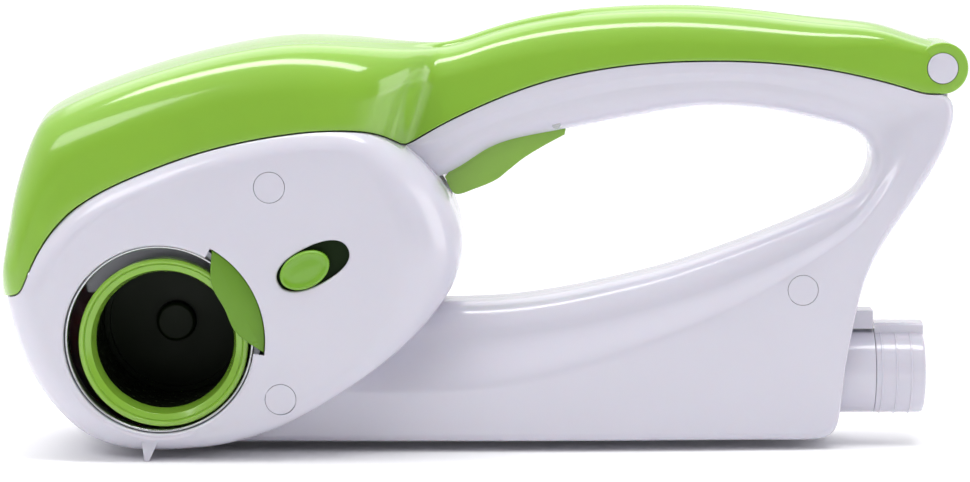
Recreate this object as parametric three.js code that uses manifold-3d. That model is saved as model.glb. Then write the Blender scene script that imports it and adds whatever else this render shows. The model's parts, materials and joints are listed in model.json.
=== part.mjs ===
// A cordless electric drum grater, in millimetres.
// X runs from the drum end (-X) to the hinge end (+X), Z is up, and the drum's axis runs along Y.
// The housing is two moulded halves that meet at Y = 0.  A long lever is hinged at the rear and
// presses food through a chute onto the turning drum.
import * as THREE from 'three';
import { mergeVertices } from 'three/addons/utils/BufferGeometryUtils.js';
import Module from 'manifold-3d';

const wasm = await Module();
wasm.setup();

// ---------------------------------------------------------------- driving dimensions
const LIFT = 3.5; // the flat base stands this far above the tip of the small underside fin
const WALL = 2.4; // moulded wall thickness
const GAP = 0.3; // clearance between pieces that nearly touch
const SPLIT = GAP / 2; // each housing half stops this far from Y = 0
const HEAD_HALF = 45; // half the width of the head
const FAR = 400; // reach of a cutting solid that has to clear everything

const MOUTH = { x: -111.4, z: 39, radius: 32.6 };
const DRUM = { x: -110, z: 37.8, front: -41.3, shellFront: -34, shellBack: 15, radius: 27 };
const RING = { outer: 29.1, groove: 26.8, bore: 23.7, depth: 8 };
const SLIDE_ANGLE = THREE.MathUtils.degToRad(27); // direction in which the drum latch slides
const SLOT = { along: 58.9, across: -1.1, length: 26.6, width: 13.2 };
const BUTTON = { along: 55.7, length: 18, width: 12.4, proud: 0.8 };
const LEAF = { outer: 36.3, tip: 25, front: -43.3, back: -41.6, from: -8, to: 60.5 };
const SPRING = { start: 66, end: 77, across: -11.5, y: -39.5, radius: 1.6, wire: 0.3 };
const PRESSER_SCREWS = [-134, -86];
const TRIGGER_PIVOT = [25, 110.2];
const PIN = { x: 159.1, z: 129.9, radius: 2.5 };
const BARREL = { radius: 9, half: 13.5, knuckle: 8.8, knuckleRadius: 7.2 };
const CHUTE = { half: 22, width: 19, y: -9, wall: 2, tilt: THREE.MathUtils.degToRad(9) };
const MODULE = 1; // gear module
const GEARS = { drum: 44, idlerSmall: 14, idlerLarge: 40, pinion: 12 };
const MOTOR = { x: -60.6, z: 50, radius: 14.5, front: -24, back: 18.5 };
const IDLER = { x: -86.2, z: 54.4 };
const PLATE_SCREWS = [[-134, 60], [-85, 17.5], [-51.5, 69.5]];
const BATTERY = { z: 21.8, radius: 14.9, wall: 1.8, from: 20, neck: 137.5, end: 155 };
const CELL = { radius: 11.1, start: 23.2, length: 41.2, pitch: 43 };
const TRIGGER = { half: 8.4, openingHalf: 9.2, pinRadius: 1.5, pinHalf: 13.2 };
const POST_RADIUS = 5.9; // screw posts inside the housing
const CAP_RADIUS = 5.2; // plugs over the housing screws
const SLIDER = { front: -41.9, back: -40.2 }; // the strip that joins the latch's leaf to its button
const PIN_CAP_RADIUS = 5.3;

// Screw posts that close the housing: place of each, and how far out the near face is there.
const SCREW_POSTS = [
  { name: 'head_top', x: -73.2, z: 91.6, face: -HEAD_HALF },
  { name: 'head_bottom', x: -69.8, z: 18.6, face: -HEAD_HALF },
  { name: 'rear', x: 111, z: 52.9, face: -19.8 },
];

// ---------------------------------------------------------------- outlines
// Edge of the head, anticlockwise from the front: x, z and the rounding radius of its side there.
const HEAD_EDGE = [
  [-164.4, 50, 14], [-162.3, 42, 14], [-159.7, 33.2, 14], [-155.7, 24.6, 14], [-151.4, 17.8, 14],
  [-146.3, 11.8, 14], [-140.2, 6.4, 13], [-133.4, 2.5, 13], [-125.8, 0.1, 13], [-117, -0.8, 12],
  [-106, -0.4, 11], [-94, 0.8, 10], [-82, 3.6, 9], [-67, 9.5, 7],
  [-53, 17.5, 7], [-39.4, 26.4, 8], [-28.5, 34.8, 12], [-20, 43, 16], [-13, 52, 20],
  [-9, 60, 21], [-7.4, 69.5, 21], [-9.7, 80, 21], [-14.5, 90, 20], [-21.5, 98.5, 18],
  [-29, 105, 15], [-39, 110.5, 11], [-52, 112.3, 9], [-73, 110.5, 9], [-97, 105.2, 9],
  [-114, 99, 9], [-128, 93, 9], [-141, 85, 9], [-152, 74, 10], [-160.2, 65, 13],
  [-164, 57.5, 14],
];

// Seam between the lever's rim and the housing, from the front to the hinge.
const SEAM = [
  [-167.5, 52.3], [-158.9, 54.9], [-156, 62.1], [-150.1, 73.2], [-139.7, 84.2],
  [-127.7, 91.4], [-114, 97.2], [-96.9, 103.3], [-78, 107.7], [-60, 110.3], [-46, 110.4],
  [-36, 108.6], [-27, 103.9], [-15.4, 110.6], [-1.6, 117.2], [15.7, 124.1], [33, 128.7],
  [53.8, 131.8], [74.5, 132.8], [95.2, 132.5], [116, 130.4], [133.4, 126.9], [145.5, 123.6],
  [152.6, 121.1], [163, 120.2],
];

// Loop of the lower body, rear post and handle.  Each row is one cross-section:
// outer x, z, inner x, z, half-width of the side, half-width at the inner edge,
// and where along the section the sloping band starts and ends.
const LOOP = [
  [-92, 0, -58, 48, 24, 17, 0.4, 0.76], [-60, 0, -36, 47, 24, 17, 0.4, 0.76],
  [-30, 0, -14, 47.6, 24, 17, 0.39, 0.76],
  [0, 0, 5, 48, 24, 17, 0.42, 0.76], [30, 0, 25, 50.5, 23.6, 17, 0.5, 0.78],
  [58, 0, 43, 54.2, 22.6, 16.6, 0.59, 0.8], [84, 0, 62, 58.6, 21.4, 16, 0.67, 0.83],
  [106, 0, 81, 64.8, 20.2, 15.5, 0.73, 0.85], [120, 0.6, 99, 71.5, 19.2, 15.2, 0.78, 0.87],
  [124.4, 8, 112, 76.9, 18.6, 15, 0.8, 0.87], [126, 23, 121.5, 81.2, 18.2, 15, 0.78, 0.86],
  [129.2, 40, 128.4, 85, 18, 15, 0.74, 0.84], [134.6, 61.5, 133.2, 90.4, 18, 15, 0.62, 0.76],
  [148, 82, 135.2, 97, 17.6, 15.2, 0.5, 0.7], [160.4, 103, 134, 103.4, 15.8, 14.4, 0.45, 0.7],
  [162.8, 119, 128.6, 108.4, 14.4, 13.6, 0.4, 0.68], [150, 123, 118, 111.2, 15.6, 14.4, 0.35, 0.62],
  [130, 129, 104, 114.3, 17.6, 16, 0.3, 0.55], [106, 133, 90, 115.9, 18, 16, 0.3, 0.5],
  [84, 134.5, 75, 116.2, 18, 16, 0.3, 0.5], [58, 134, 58, 113.7, 18, 16, 0.3, 0.5],
  [40, 131.5, 42, 110.8, 18, 16, 0.3, 0.5], [22, 127.5, 26, 107.6, 18, 16, 0.3, 0.52],
  [5, 121.5, 12, 105, 18, 16, 0.3, 0.54], [-10, 115, 0, 100.9, 18, 16, 0.3, 0.56],
  [-24, 109, -13, 92, 18, 16, 0.3, 0.56], [-45, 108, -38, 84, 18, 16, 0.3, 0.56],
];

// Sections of the lever: rim x, z, top x, z, half-width, corner radius.
const LEVER = [
  [-167, 52.2, -167, 54.2, 24, 12], [-164.6, 53, -166.8, 60.6, 33, 15],
  [-161.5, 54, -165.9, 68.6, 38.5, 17], [-158.6, 55.8, -164.6, 78, 40.5, 18],
  [-155.6, 63, -162.6, 89, 41, 18], [-150.1, 73.2, -158.9, 101.4, 41, 18],
  [-143, 81.4, -154.4, 112, 41, 18], [-137, 86, -148.8, 117.2, 41, 18],
  [-127.7, 91.4, -136.5, 123, 41, 18], [-114, 97.2, -119.5, 129.2, 41, 18],
  [-96.9, 103.3, -99.6, 135, 41, 18], [-78, 107.7, -78, 139.5, 41, 18],
  [-60, 110.3, -60.4, 140.8, 41, 18], [-46, 110.4, -44, 140, 39, 18],
  [-38, 109.2, -32.5, 139, 34.5, 18], [-32, 106.6, -24, 138.4, 27.5, 16],
  [-28.4, 104.3, -17.5, 138.2, 20.5, 15], [-25, 105, -12.5, 138.6, 18, 14],
  [-15.4, 110.6, -5, 140.6, 18, 14], [-1.6, 117.2, 5.6, 144.2, 18, 14],
  [15.7, 124.1, 19.6, 147.5, 18, 14], [33, 128.7, 34, 149.7, 18, 14],
  [53.8, 131.8, 54, 151.1, 18, 13], [74.5, 132.8, 75, 151.1, 18, 13],
  [95.2, 132.5, 96, 149.4, 18, 12], [116, 130.4, 117, 146.8, 18, 10],
  [133.4, 126.9, 135, 145.3, 17.6, 7], [145.5, 123.6, 147, 141.6, 16, 5],
  [152.6, 121.4, 154.5, 139.4, 14.6, 4], [158.6, 121.1, 160, 138.4, 13.5, 4],
];

// ---------------------------------------------------------------- colours
const finish = (color, roughness, metalness = 0) =>
  new THREE.MeshStandardMaterial({ color, roughness, metalness });
const GREEN = finish(0x7dbb3a, 0.25);
const DARK_GREEN = finish(0x3f6a1f, 0.4);
const WHITE = finish(0xdcdae4, 0.28);
const GREY_PLASTIC = finish(0x8a8d92, 0.5);
const BLACK_PLASTIC = finish(0x202226, 0.55);
const STEEL = finish(0xb9bcc0, 0.3, 0.9);
const RED = finish(0xb3261e, 0.5);
const BRASS = finish(0xb99b52, 0.35, 0.9);
const ACETAL = finish(0xe8e4d6, 0.5);

// ---------------------------------------------------------------- solids from meshes
function solidOf(geometry) {
  const bare = geometry.clone();
  bare.deleteAttribute('normal');
  bare.deleteAttribute('uv');
  const merged = mergeVertices(bare, 1e-4);
  const vertProperties = new Float32Array(merged.attributes.position.array);
  const triVerts = new Uint32Array(merged.index.array);
  return new wasm.Manifold(new wasm.Mesh({ numProp: 3, vertProperties, triVerts }));
}

function geometryOf(solid) {
  const mesh = solid.getMesh();
  const geometry = new THREE.BufferGeometry();
  geometry.setAttribute('position', new THREE.BufferAttribute(new Float32Array(mesh.vertProperties), 3));
  geometry.setIndex(new THREE.BufferAttribute(new Uint32Array(mesh.triVerts), 1));
  geometry.computeVertexNormals();
  return geometry;
}

const joined = (first, ...others) => others.reduce((sum, solid) => sum.add(solid), first);
const without = (first, ...others) => others.reduce((rest, solid) => rest.subtract(solid), first);

// ---------------------------------------------------------------- shape helpers
// Smooth rows of numbers: Catmull-Rom through every row, with `steps` samples for each span.
function smoothRows(rows, steps, closed = false) {
  const count = rows.length;
  const at = (i) => (closed ? rows[(i + count) % count] : rows[Math.min(Math.max(i, 0), count - 1)]);
  const spans = closed ? count : count - 1;
  const result = [];
  for (let span = 0; span < spans; span += 1) {
    for (let step = 0; step < steps; step += 1) {
      const t = step / steps;
      result.push(rows[0].map((_, k) => {
        const [a, b, c, d] = [at(span - 1)[k], at(span)[k], at(span + 1)[k], at(span + 2)[k]];
        const cubic = (3 * b - 3 * c + d - a) * t * t * t + (2 * a - 5 * b + 4 * c - d) * t * t;
        return (cubic + (c - a) * t + 2 * b) / 2;
      }));
    }
  }
  if (!closed) result.push(rows[count - 1]);
  return result;
}

// Outward unit normals of a run of [x, z] points; `side` picks which side is outward.
function normalsOf(points, side, closed = false) {
  const count = points.length;
  return points.map((_, i) => {
    const before = points[closed ? (i + count - 1) % count : Math.max(i - 1, 0)];
    const after = points[closed ? (i + 1) % count : Math.min(i + 1, count - 1)];
    const [dx, dz] = [after[0] - before[0], after[1] - before[1]];
    const length = Math.hypot(dx, dz);
    return [side * -dz / length, side * dx / length];
  });
}

// A closed solid through a run of closed sections with equal point counts.
function loft(sections) {
  const size = sections[0].length;
  const positions = [];
  const index = [];
  const centre = (section) => section[0].map((_, k) => section.reduce((s, p) => s + p[k], 0) / size);
  sections.forEach((section) => section.forEach((p) => positions.push(...p)));
  positions.push(...centre(sections[0]), ...centre(sections[sections.length - 1]));
  const startCap = sections.length * size;
  for (let j = 0; j < size; j += 1) {
    const next = (j + 1) % size;
    for (let i = 0; i < sections.length - 1; i += 1) {
      const [a, b] = [i * size, (i + 1) * size];
      index.push(a + j, a + next, b + next, a + j, b + next, b + j);
    }
    const last = (sections.length - 1) * size;
    index.push(startCap, next, j, startCap + 1, last + j, last + next);
  }
  if (signedVolume(positions, index) < 0) index.reverse();
  const geometry = new THREE.BufferGeometry();
  geometry.setAttribute('position', new THREE.Float32BufferAttribute(positions, 3));
  geometry.setIndex(index);
  return solidOf(geometry);
}

function signedVolume(positions, index) {
  const point = (i) => new THREE.Vector3(...positions.slice(3 * i, 3 * i + 3));
  let total = 0;
  for (let i = 0; i < index.length; i += 3) {
    total += point(index[i]).dot(point(index[i + 1]).cross(point(index[i + 2])));
  }
  return total;
}

// An [x, z] outline extruded along Y.
function prism(outline, y0, y1, holes = []) {
  const vectors = (points) => points.map(([x, z]) => new THREE.Vector2(x, z));
  const shape = new THREE.Shape(vectors(outline));
  shape.holes = holes.map((hole) => new THREE.Path(vectors(hole)));
  const geometry = new THREE.ExtrudeGeometry(shape, { depth: y1 - y0, bevelEnabled: false });
  geometry.rotateX(Math.PI / 2);
  geometry.translate(0, y1, 0);
  return solidOf(geometry);
}

function block(x0, x1, y0, y1, z0, z1) {
  const geometry = new THREE.BoxGeometry(x1 - x0, y1 - y0, z1 - z0);
  geometry.translate((x0 + x1) / 2, (y0 + y1) / 2, (z0 + z1) / 2);
  return solidOf(geometry);
}

// A round bar along Y.
function rod(x, z, radius, y0, y1, sides = 32) {
  const geometry = new THREE.CylinderGeometry(radius, radius, y1 - y0, sides);
  geometry.translate(x, (y0 + y1) / 2, z);
  return solidOf(geometry);
}

function tube(x, z, outer, inner, y0, y1, sides = 32) {
  return without(rod(x, z, outer, y0, y1, sides), rod(x, z, inner, y0 - 1, y1 + 1, sides));
}

// A turned piece about the Y axis through (x, z); profile is a closed run of [radius, y].
function turned(x, z, profile, sides = 48) {
  const points = [...profile, profile[0]].map(([r, y]) => new THREE.Vector2(r, y));
  const geometry = new THREE.LatheGeometry(points, sides);
  return fixWinding(geometry).translate([x, 0, z]);
}

// A solid from a mesh that may have collapsed triangles or be inside out.
function fixWinding(geometry) {
  const bare = geometry.clone();
  bare.deleteAttribute('normal');
  bare.deleteAttribute('uv');
  const merged = mergeVertices(bare, 1e-4);
  const index = Array.from(merged.index.array);
  const keep = [];
  for (let i = 0; i < index.length; i += 3) {
    const [a, b, c] = index.slice(i, i + 3);
    if (a !== b && b !== c && a !== c) keep.push(a, b, c);
  }
  if (signedVolume(Array.from(merged.attributes.position.array), keep) < 0) keep.reverse();
  merged.setIndex(keep);
  return solidOf(merged);
}

// A round bar along X.
function bar(y, z, radius, x0, x1, sides = 32) {
  const geometry = new THREE.CylinderGeometry(radius, radius, x1 - x0, sides);
  geometry.rotateZ(Math.PI / 2);
  geometry.translate((x0 + x1) / 2, y, z);
  return solidOf(geometry);
}

// A round-wire coil spring of `turns` turns, from `start` along `direction`.
function coil(start, direction, length, radius, wire, turns) {
  const axis = new THREE.Vector3(...direction).normalize();
  const side = new THREE.Vector3(0, 1, 0);
  const up = new THREE.Vector3().crossVectors(axis, side);
  const points = [];
  const perTurn = 6;
  for (let i = 0; i <= turns * perTurn; i += 1) {
    const angle = (2 * Math.PI * i) / perTurn;
    const place = new THREE.Vector3(...start).addScaledVector(axis, (length * i) / (turns * perTurn));
    place.addScaledVector(side, radius * Math.cos(angle));
    place.addScaledVector(up, radius * Math.sin(angle));
    points.push(place);
  }
  return strand(points, wire, points.length - 1, 4);
}

// A round strand of `sides` flats through a run of points.
function strand(points, radius, steps, sides) {
  const section = new THREE.Shape(Array.from({ length: sides }, (_, i) => {
    const a = (2 * Math.PI * i) / sides;
    return new THREE.Vector2(radius * Math.cos(a), radius * Math.sin(a));
  }));
  const extrudePath = new THREE.CatmullRomCurve3(points);
  return fixWinding(new THREE.ExtrudeGeometry(section, { steps, extrudePath, bevelEnabled: false }));
}

// Unit vectors along and across the latch's slide, and a place given in them from the mouth's centre.
const ALONG = [Math.cos(SLIDE_ANGLE), Math.sin(SLIDE_ANGLE)];
const latchPlace = (along, across) => [
  MOUTH.x + along * ALONG[0] - across * ALONG[1],
  MOUTH.z + along * ALONG[1] + across * ALONG[0],
];

// An oval lying along the slide; `fullness` above 1 squares it off a little.
function oval(along, across, length, width, count = 32, fullness = 1) {
  const bulge = (value) => Math.sign(value) * Math.abs(value) ** (1 / fullness);
  return Array.from({ length: count }, (_, i) => {
    const a = (2 * Math.PI * i) / count;
    return latchPlace(along + (length / 2) * bulge(Math.cos(a)), across + (width / 2) * bulge(Math.sin(a)));
  });
}

function arc(x, z, radius, fromDegrees, toDegrees, count) {
  return Array.from({ length: count + 1 }, (_, i) => {
    const a = THREE.MathUtils.degToRad(fromDegrees + ((toDegrees - fromDegrees) * i) / count);
    return [x + radius * Math.cos(a), z + radius * Math.sin(a)];
  });
}

// ---------------------------------------------------------------- housing
// The head: a thick pebble whose sides roll over with a radius that changes round its edge.
function pebble(inset) {
  const edge = HEAD_EDGE;
  const normals = normalsOf(edge, -1, true);
  const half = HEAD_HALF - inset;
  const rolls = [0, 0.3, 0.65, 1].map((part) => (part * Math.PI) / 2);
  const section = (roll, side) => edge.map(([x, z, round], i) => {
    const radius = Math.max(round - inset, 1);
    const back = inset + radius * (1 - Math.sin(roll));
    const y = side * (half - radius * (1 - Math.cos(roll)));
    return [x - normals[i][0] * back, y, z - normals[i][1] * back];
  });
  const near = rolls.map((roll) => section(roll, -1));
  const far = rolls.map((roll) => section(roll, 1)).reverse();
  return loft([...near, ...far]);
}

// One cross-section of the loop, as points round it, shrunk by `inset` on every side.
function loopSection([ox, oz, ix, iz, side, inner, bandFrom, bandTo], inset) {
  const full = Math.hypot(ix - ox, iz - oz);
  const [ux, uz] = [(ix - ox) / full, (iz - oz) / full];
  const round = Math.max(3 - inset, 0.6);
  const edge = Math.max(6 - inset, 2);
  const half = side - inset;
  const halfInner = inner - inset;
  const start = inset;
  const end = full - inset;
  const bandEnd = bandTo * full;
  const profile = [
    [start, half - round], [start + 0.3 * round, half - 0.3 * round], [start + round, half],
    [bandFrom * full, half - 0.3], [bandEnd, halfInner],
  ];
  [0.38, 0.7, 0.92, 1].forEach((part) => {
    const lean = Math.sqrt(1 - part * part);
    profile.push([bandEnd + (end - bandEnd) * part, edge + (halfInner - edge) * lean]);
  });
  const near = profile.map(([u, y]) => [ox + ux * u, -y, oz + uz * u]);
  const far = profile.map(([u, y]) => [ox + ux * u, y, oz + uz * u]).reverse();
  return [...near, ...far];
}

const loopSolid = (inset) => loft(LOOP.map((row) => loopSection(row, inset)));

// Everything above the seam, lowered by `drop`.
function aboveSeam(drop) {
  const normals = normalsOf(SEAM, -1);
  const edge = SEAM.map(([x, z], i) => [x + drop * normals[i][0], z + drop * normals[i][1]]);
  const start = [edge[0][0] - 20, edge[0][1] - 4];
  const end = edge[edge.length - 1];
  return prism([start, ...edge, [end[0] + 20, end[1]], [end[0] + 20, 220], [start[0], 220]], -80, 80);
}

const tilted = (solid) => solid
  .translate([-DRUM.x, 0, -DRUM.z])
  .rotate([0, THREE.MathUtils.radToDeg(-CHUTE.tilt), 0])
  .translate([DRUM.x, 0, DRUM.z]);

// A square column over the drum, leaning along the presser's path.
function chuteColumn(grow) {
  const reach = CHUTE.half + grow;
  const y0 = CHUTE.y - CHUTE.width - grow;
  const y1 = CHUTE.y + CHUTE.width + grow;
  return tilted(block(DRUM.x - reach, DRUM.x + reach, y0, y1, DRUM.z, DRUM.z + 120));
}

function housingBody() {
  const outside = joined(pebble(0), loopSolid(0)).subtract(aboveSeam(0.4));
  const inside = joined(pebble(WALL), loopSolid(WALL)).subtract(aboveSeam(0.4 + WALL));
  const shell = outside.subtract(inside);
  const sleeve = tube(MOUTH.x, MOUTH.z, MOUTH.radius + 2, MOUTH.radius, -43.5, -34, 40);
  const fin = prism([[-118.2, 6], [-116.9, -LIFT], [-115.4, -LIFT], [-111, 6]], -41, -26);
  const knuckle = rod(PIN.x, PIN.z, BARREL.knuckleRadius, -BARREL.knuckle, BARREL.knuckle, 20);
  const neck = block(PIN.x - 5.5, PIN.x + 2.4, -BARREL.knuckle, BARREL.knuckle, 117, PIN.z);
  const posts = SCREW_POSTS.map(({ x, z, face }) => rod(x, z, POST_RADIUS, face + 1, -face - 1, 14));
  const plateStuds = PLATE_SCREWS.map(([x, z]) => rod(x, z, 3.4, 21.9, HEAD_HALF - 1, 10));
  const spindleSeat = rod(DRUM.x, DRUM.z, 6.5, 38.2, HEAD_HALF - 1, 16);
  const idlerSeat = rod(IDLER.x, IDLER.z, 4, 39.9, HEAD_HALF - 1, 12);
  const springStop = latchBlock([SPRING.end + GAP, SPRING.end + 2.3], [-15, -8], -HEAD_HALF + 1, -36.5);
  const seats = [spindleSeat, idlerSeat, springStop];
  const body = joined(shell, sleeve, fin, knuckle, neck, ...posts, ...plateStuds, ...seats);
  return without(
    body,
    chuteColumn(CHUTE.wall + GAP).subtract(block(-FAR, FAR, -80, 80, -10, 70)),
    rod(MOUTH.x, MOUTH.z, MOUTH.radius, -60, -33, 40),
    leafWindow(),
    prism(oval(SLOT.along, SLOT.across, SLOT.length, SLOT.width, 32, 1.15), -60, -38),
    rod(PIN.x, PIN.z, PIN.radius + 0.2, -30, 30, 16),
    triggerOpening(),
    bar(0, BATTERY.z, BATTERY.radius + GAP, 100, 180, 40),
    block(118, 160, -5.3, 5.3, BATTERY.z + BATTERY.radius - 3, 44.2),
    rod(...TRIGGER_PIVOT, TRIGGER.pinRadius + GAP, -TRIGGER.pinHalf - GAP, TRIGGER.pinHalf + GAP, 12),
    rod(DRUM.x, DRUM.z, 3.3, 34, 41, 16),
    rod(IDLER.x, IDLER.z, 1.8, 34, 41, 12),
    ...PLATE_SCREWS.map(([x, z]) => rod(x, z, 1.5, 20, 33, 10)),
  );
}

// Pocket and window for the latch leaf: open at the mouth, and under the face behind it.
function leafWindow() {
  const outline = (radius, from, to) => [
    ...arc(MOUTH.x, MOUTH.z, radius, from, to, 14), ...arc(MOUTH.x, MOUTH.z, 26, to, from, 8),
  ];
  const window = prism(outline(LEAF.outer + 0.25, LEAF.from, LEAF.to), -60, LEAF.front - 0.01);
  const pocket = prism(outline(LEAF.outer + 9, LEAF.from - 6, LEAF.to + 6), LEAF.front - GAP, -39.8);
  return joined(window, pocket);
}

const triggerOpening = () => prism([
  [-11.6, 84], [31, 84], [30.8, 112.4], [22, 113.8], [8, 112], [-12, 106], [-17.6, 99.5], [-17.4, 92.5],
], -TRIGGER.openingHalf, TRIGGER.openingHalf);

// Counterbore, clearance hole and cap recess of each screw, all from the near side.
function screwHoles({ x, z, face }) {
  return joined(
    rod(x, z, 5.5, face - 5, face + 1.5, 20),
    rod(x, z, 3.6, face - 5, -9.7, 12),
    rod(x, z, 1.85, -12, 15, 8),
  );
}

function housingHalf(body, side) {
  const [y0, y1] = side < 0 ? [-SPLIT, FAR] : [-FAR, SPLIT];
  const other = block(-FAR, FAR, y0, y1, -FAR, FAR);
  return without(body, other, ...SCREW_POSTS.map(screwHoles));
}

function screwCap({ x, z, face }) {
  return rod(x, z, CAP_RADIUS, face + 0.05, face + 1.2, 20);
}

function housingScrew({ x, z }) {
  const head = rod(x, z, 3.2, -12.4, -10, 12);
  const slot = block(x - 0.5, x + 0.5, -13, -11.6, z - 2, z + 2);
  return joined(head, rod(x, z, 1.5, -10.2, 14.5, 8)).subtract(slot)
    .subtract(block(x - 2, x + 2, -13, -11.6, z - 0.5, z + 0.5));
}

// ---------------------------------------------------------------- lever and presser
// One arch of the lever: points from the near rim over the top to the far rim.
function archSection([rx, rz, tx, tz, half, corner]) {
  const height = Math.hypot(tx - rx, tz - rz);
  const [ux, uz] = [(tx - rx) / height, (tz - rz) / height];
  const crown = Math.min(1.6, 0.1 * height);
  const radius = Math.min(corner, 0.8 * (height - crown), 0.8 * half);
  const wallTop = height - crown - radius;
  const lean = 0.07 * wallTop;
  const side = [[half, 0], [half - 0.4 * lean, 0.5 * wallTop]];
  [0, 1, 2, 3].forEach((step) => {
    const a = (step * Math.PI) / 6;
    side.push([half - lean - radius * (1 - Math.cos(a)), wallTop + radius * Math.sin(a)]);
  });
  side.push([(half - lean - radius) / 2, height - 0.25 * crown], [0, height]);
  const near = side.map(([y, h]) => [rx + ux * h, -y, rz + uz * h]);
  const far = side.slice(0, -1).map(([y, h]) => [rx + ux * h, y, rz + uz * h]).reverse();
  return [...near, ...far];
}

// The lever's inside: rims pushed past the seam, top and sides pulled in by the wall.
function insideRows(rows, wall) {
  const rimNormals = normalsOf(rows.map((row) => row.slice(0, 2)), -1);
  const topNormals = normalsOf(rows.map((row) => row.slice(2, 4)), 1);
  return rows.map(([rx, rz, tx, tz, half, corner], i) => {
    const before = rows[Math.max(i - 1, 0)];
    const after = rows[Math.min(i + 1, rows.length - 1)];
    const run = Math.hypot(after[0] - before[0], after[1] - before[1]);
    const slope = (after[4] - before[4]) / Math.max(run, 1);
    const thick = wall * Math.min(Math.hypot(1, slope), 2.2);
    return [
      rx + rimNormals[i][0], rz + rimNormals[i][1],
      tx - wall * topNormals[i][0], tz - wall * topNormals[i][1],
      half - thick, Math.max(corner - wall, 1),
    ];
  });
}

function leverShell() {
  const hollowRows = insideRows(LEVER, WALL - 0.2).slice(1, -3);
  const outside = loft(LEVER.map(archSection));
  const inside = loft(hollowRows.map(archSection));
  const barrel = rod(PIN.x, PIN.z, BARREL.radius, -BARREL.half, BARREL.half, 24);
  const bosses = PRESSER_SCREWS.map((x) => rodUp(x, CHUTE.y, 3.6, 112, 150));
  const shell = joined(without(outside, inside), barrel);
  const room = BARREL.knuckle + 0.4;
  return without(
    joined(shell, ...bosses.map((boss) => boss.intersect(outside))),
    rod(PIN.x, PIN.z, BARREL.knuckleRadius + 0.5, -room, room, 20),
    block(140, PIN.x + 12, -room, room, 100, PIN.z),
    block(PIN.x + 2, PIN.x + 12, -room, room, PIN.z - 1, PIN.z + 4.4),
    rod(PIN.x, PIN.z, PIN.radius + 0.05, -30, 30, 16),
    rod(PIN.x, PIN.z, PIN_CAP_RADIUS + GAP, -30, -BARREL.half + 1.4, 24),
    rod(PIN.x, PIN.z, PIN_CAP_RADIUS + GAP, BARREL.half - 1.4, 30, 24),
    ...PRESSER_SCREWS.map((x) => rodUp(x, CHUTE.y, 1.5, 100, 120)),
  );
}

// A round bar along Z.
function rodUp(x, y, radius, z0, z1, sides = 16) {
  const geometry = new THREE.CylinderGeometry(radius, radius, z1 - z0, sides);
  geometry.rotateX(Math.PI / 2);
  geometry.translate(x, y, (z0 + z1) / 2);
  return solidOf(geometry);
}

// The presser: a ribbed block with a hollowed underside that just clears the drum.
function presser() {
  const reach = CHUTE.half - 1.6;
  const width = CHUTE.width - 1;
  const [y0, y1] = [CHUTE.y - width, CHUTE.y + width];
  const foot = tilted(block(DRUM.x - reach, DRUM.x + reach, y0, y1, DRUM.z + 8, DRUM.z + 46));
  const neck = block(DRUM.x - 12, DRUM.x + 8, CHUTE.y - 12, CHUTE.y + 12, 76, 110);
  const plate = block(-139, -81, CHUTE.y - 10, CHUTE.y + 10, 108.5, 111.6);
  const hollow = tilted(block(DRUM.x - reach + 2, DRUM.x - 15, y0 + 2, y1 - 2, DRUM.z + 34, DRUM.z + 60));
  return without(
    joined(foot.subtract(hollow), neck, plate),
    rod(DRUM.x, DRUM.z, DRUM.radius + 1.6, -60, 60, 36),
    ...PRESSER_SCREWS.map((x) => rodUp(x, CHUTE.y, 1.8, 100, 120)),
  );
}

const presserScrew = (x) => joined(rodUp(x, CHUTE.y, 3, 106.4, 108.3), rodUp(x, CHUTE.y, 1.3, 108, 118, 12));

function foodChute() {
  const drumRoom = rod(DRUM.x, DRUM.z, DRUM.radius + 1.2, -60, 60, 36);
  const wall = without(chuteColumn(CHUTE.wall), chuteColumn(0).translate([0, 0, -30]), chuteColumn(0));
  return without(wall, drumRoom, aboveSeam(0.4), block(-FAR, FAR, -80, 80, -10, DRUM.z + 16));
}

// ---------------------------------------------------------------- drum and drive
function gear(teeth, x, z, y0, y1, bore, phase) {
  const pitch = (MODULE * teeth) / 2;
  const tip = pitch + MODULE * 0.92;
  const root = pitch - 1.2 * MODULE;
  const tooth = (2 * Math.PI) / teeth;
  const outline = [];
  for (let i = 0; i < teeth; i += 1) {
    const middle = phase + i * tooth;
    outline.push([root, middle - 0.31 * tooth], [tip, middle - 0.14 * tooth]);
    outline.push([tip, middle + 0.14 * tooth], [root, middle + 0.31 * tooth]);
  }
  const points = outline.map(([r, a]) => [x + r * Math.cos(a), z + r * Math.sin(a)]);
  return prism(points, y0, y1, [arc(x, z, bore, 360, 0, 20).slice(0, -1)]);
}

// Phase that puts a tooth gap of the follower opposite a tooth of the driver.
const driveAngle = Math.atan2(IDLER.z - DRUM.z, IDLER.x - DRUM.x);
const motorAngle = Math.atan2(MOTOR.z - IDLER.z, MOTOR.x - IDLER.x);
const gapTowards = (angle, teeth) => angle + Math.PI + Math.PI / teeth;

const drumGear = () => gear(GEARS.drum, DRUM.x, DRUM.z, 31.5, 37.5, 3.3, driveAngle);
function idlerGear() {
  const large = gear(GEARS.idlerLarge, IDLER.x, IDLER.z, 24, 30, 1.8, motorAngle);
  const phase = gapTowards(driveAngle, GEARS.idlerSmall);
  const small = gear(GEARS.idlerSmall, IDLER.x, IDLER.z, 29.5, 38, 1.8, phase);
  return large.add(small);
}
const motorPinion = () => gear(
  GEARS.pinion, MOTOR.x, MOTOR.z, 23.6, 30.2, 1.3, gapTowards(motorAngle, GEARS.pinion),
);

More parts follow.
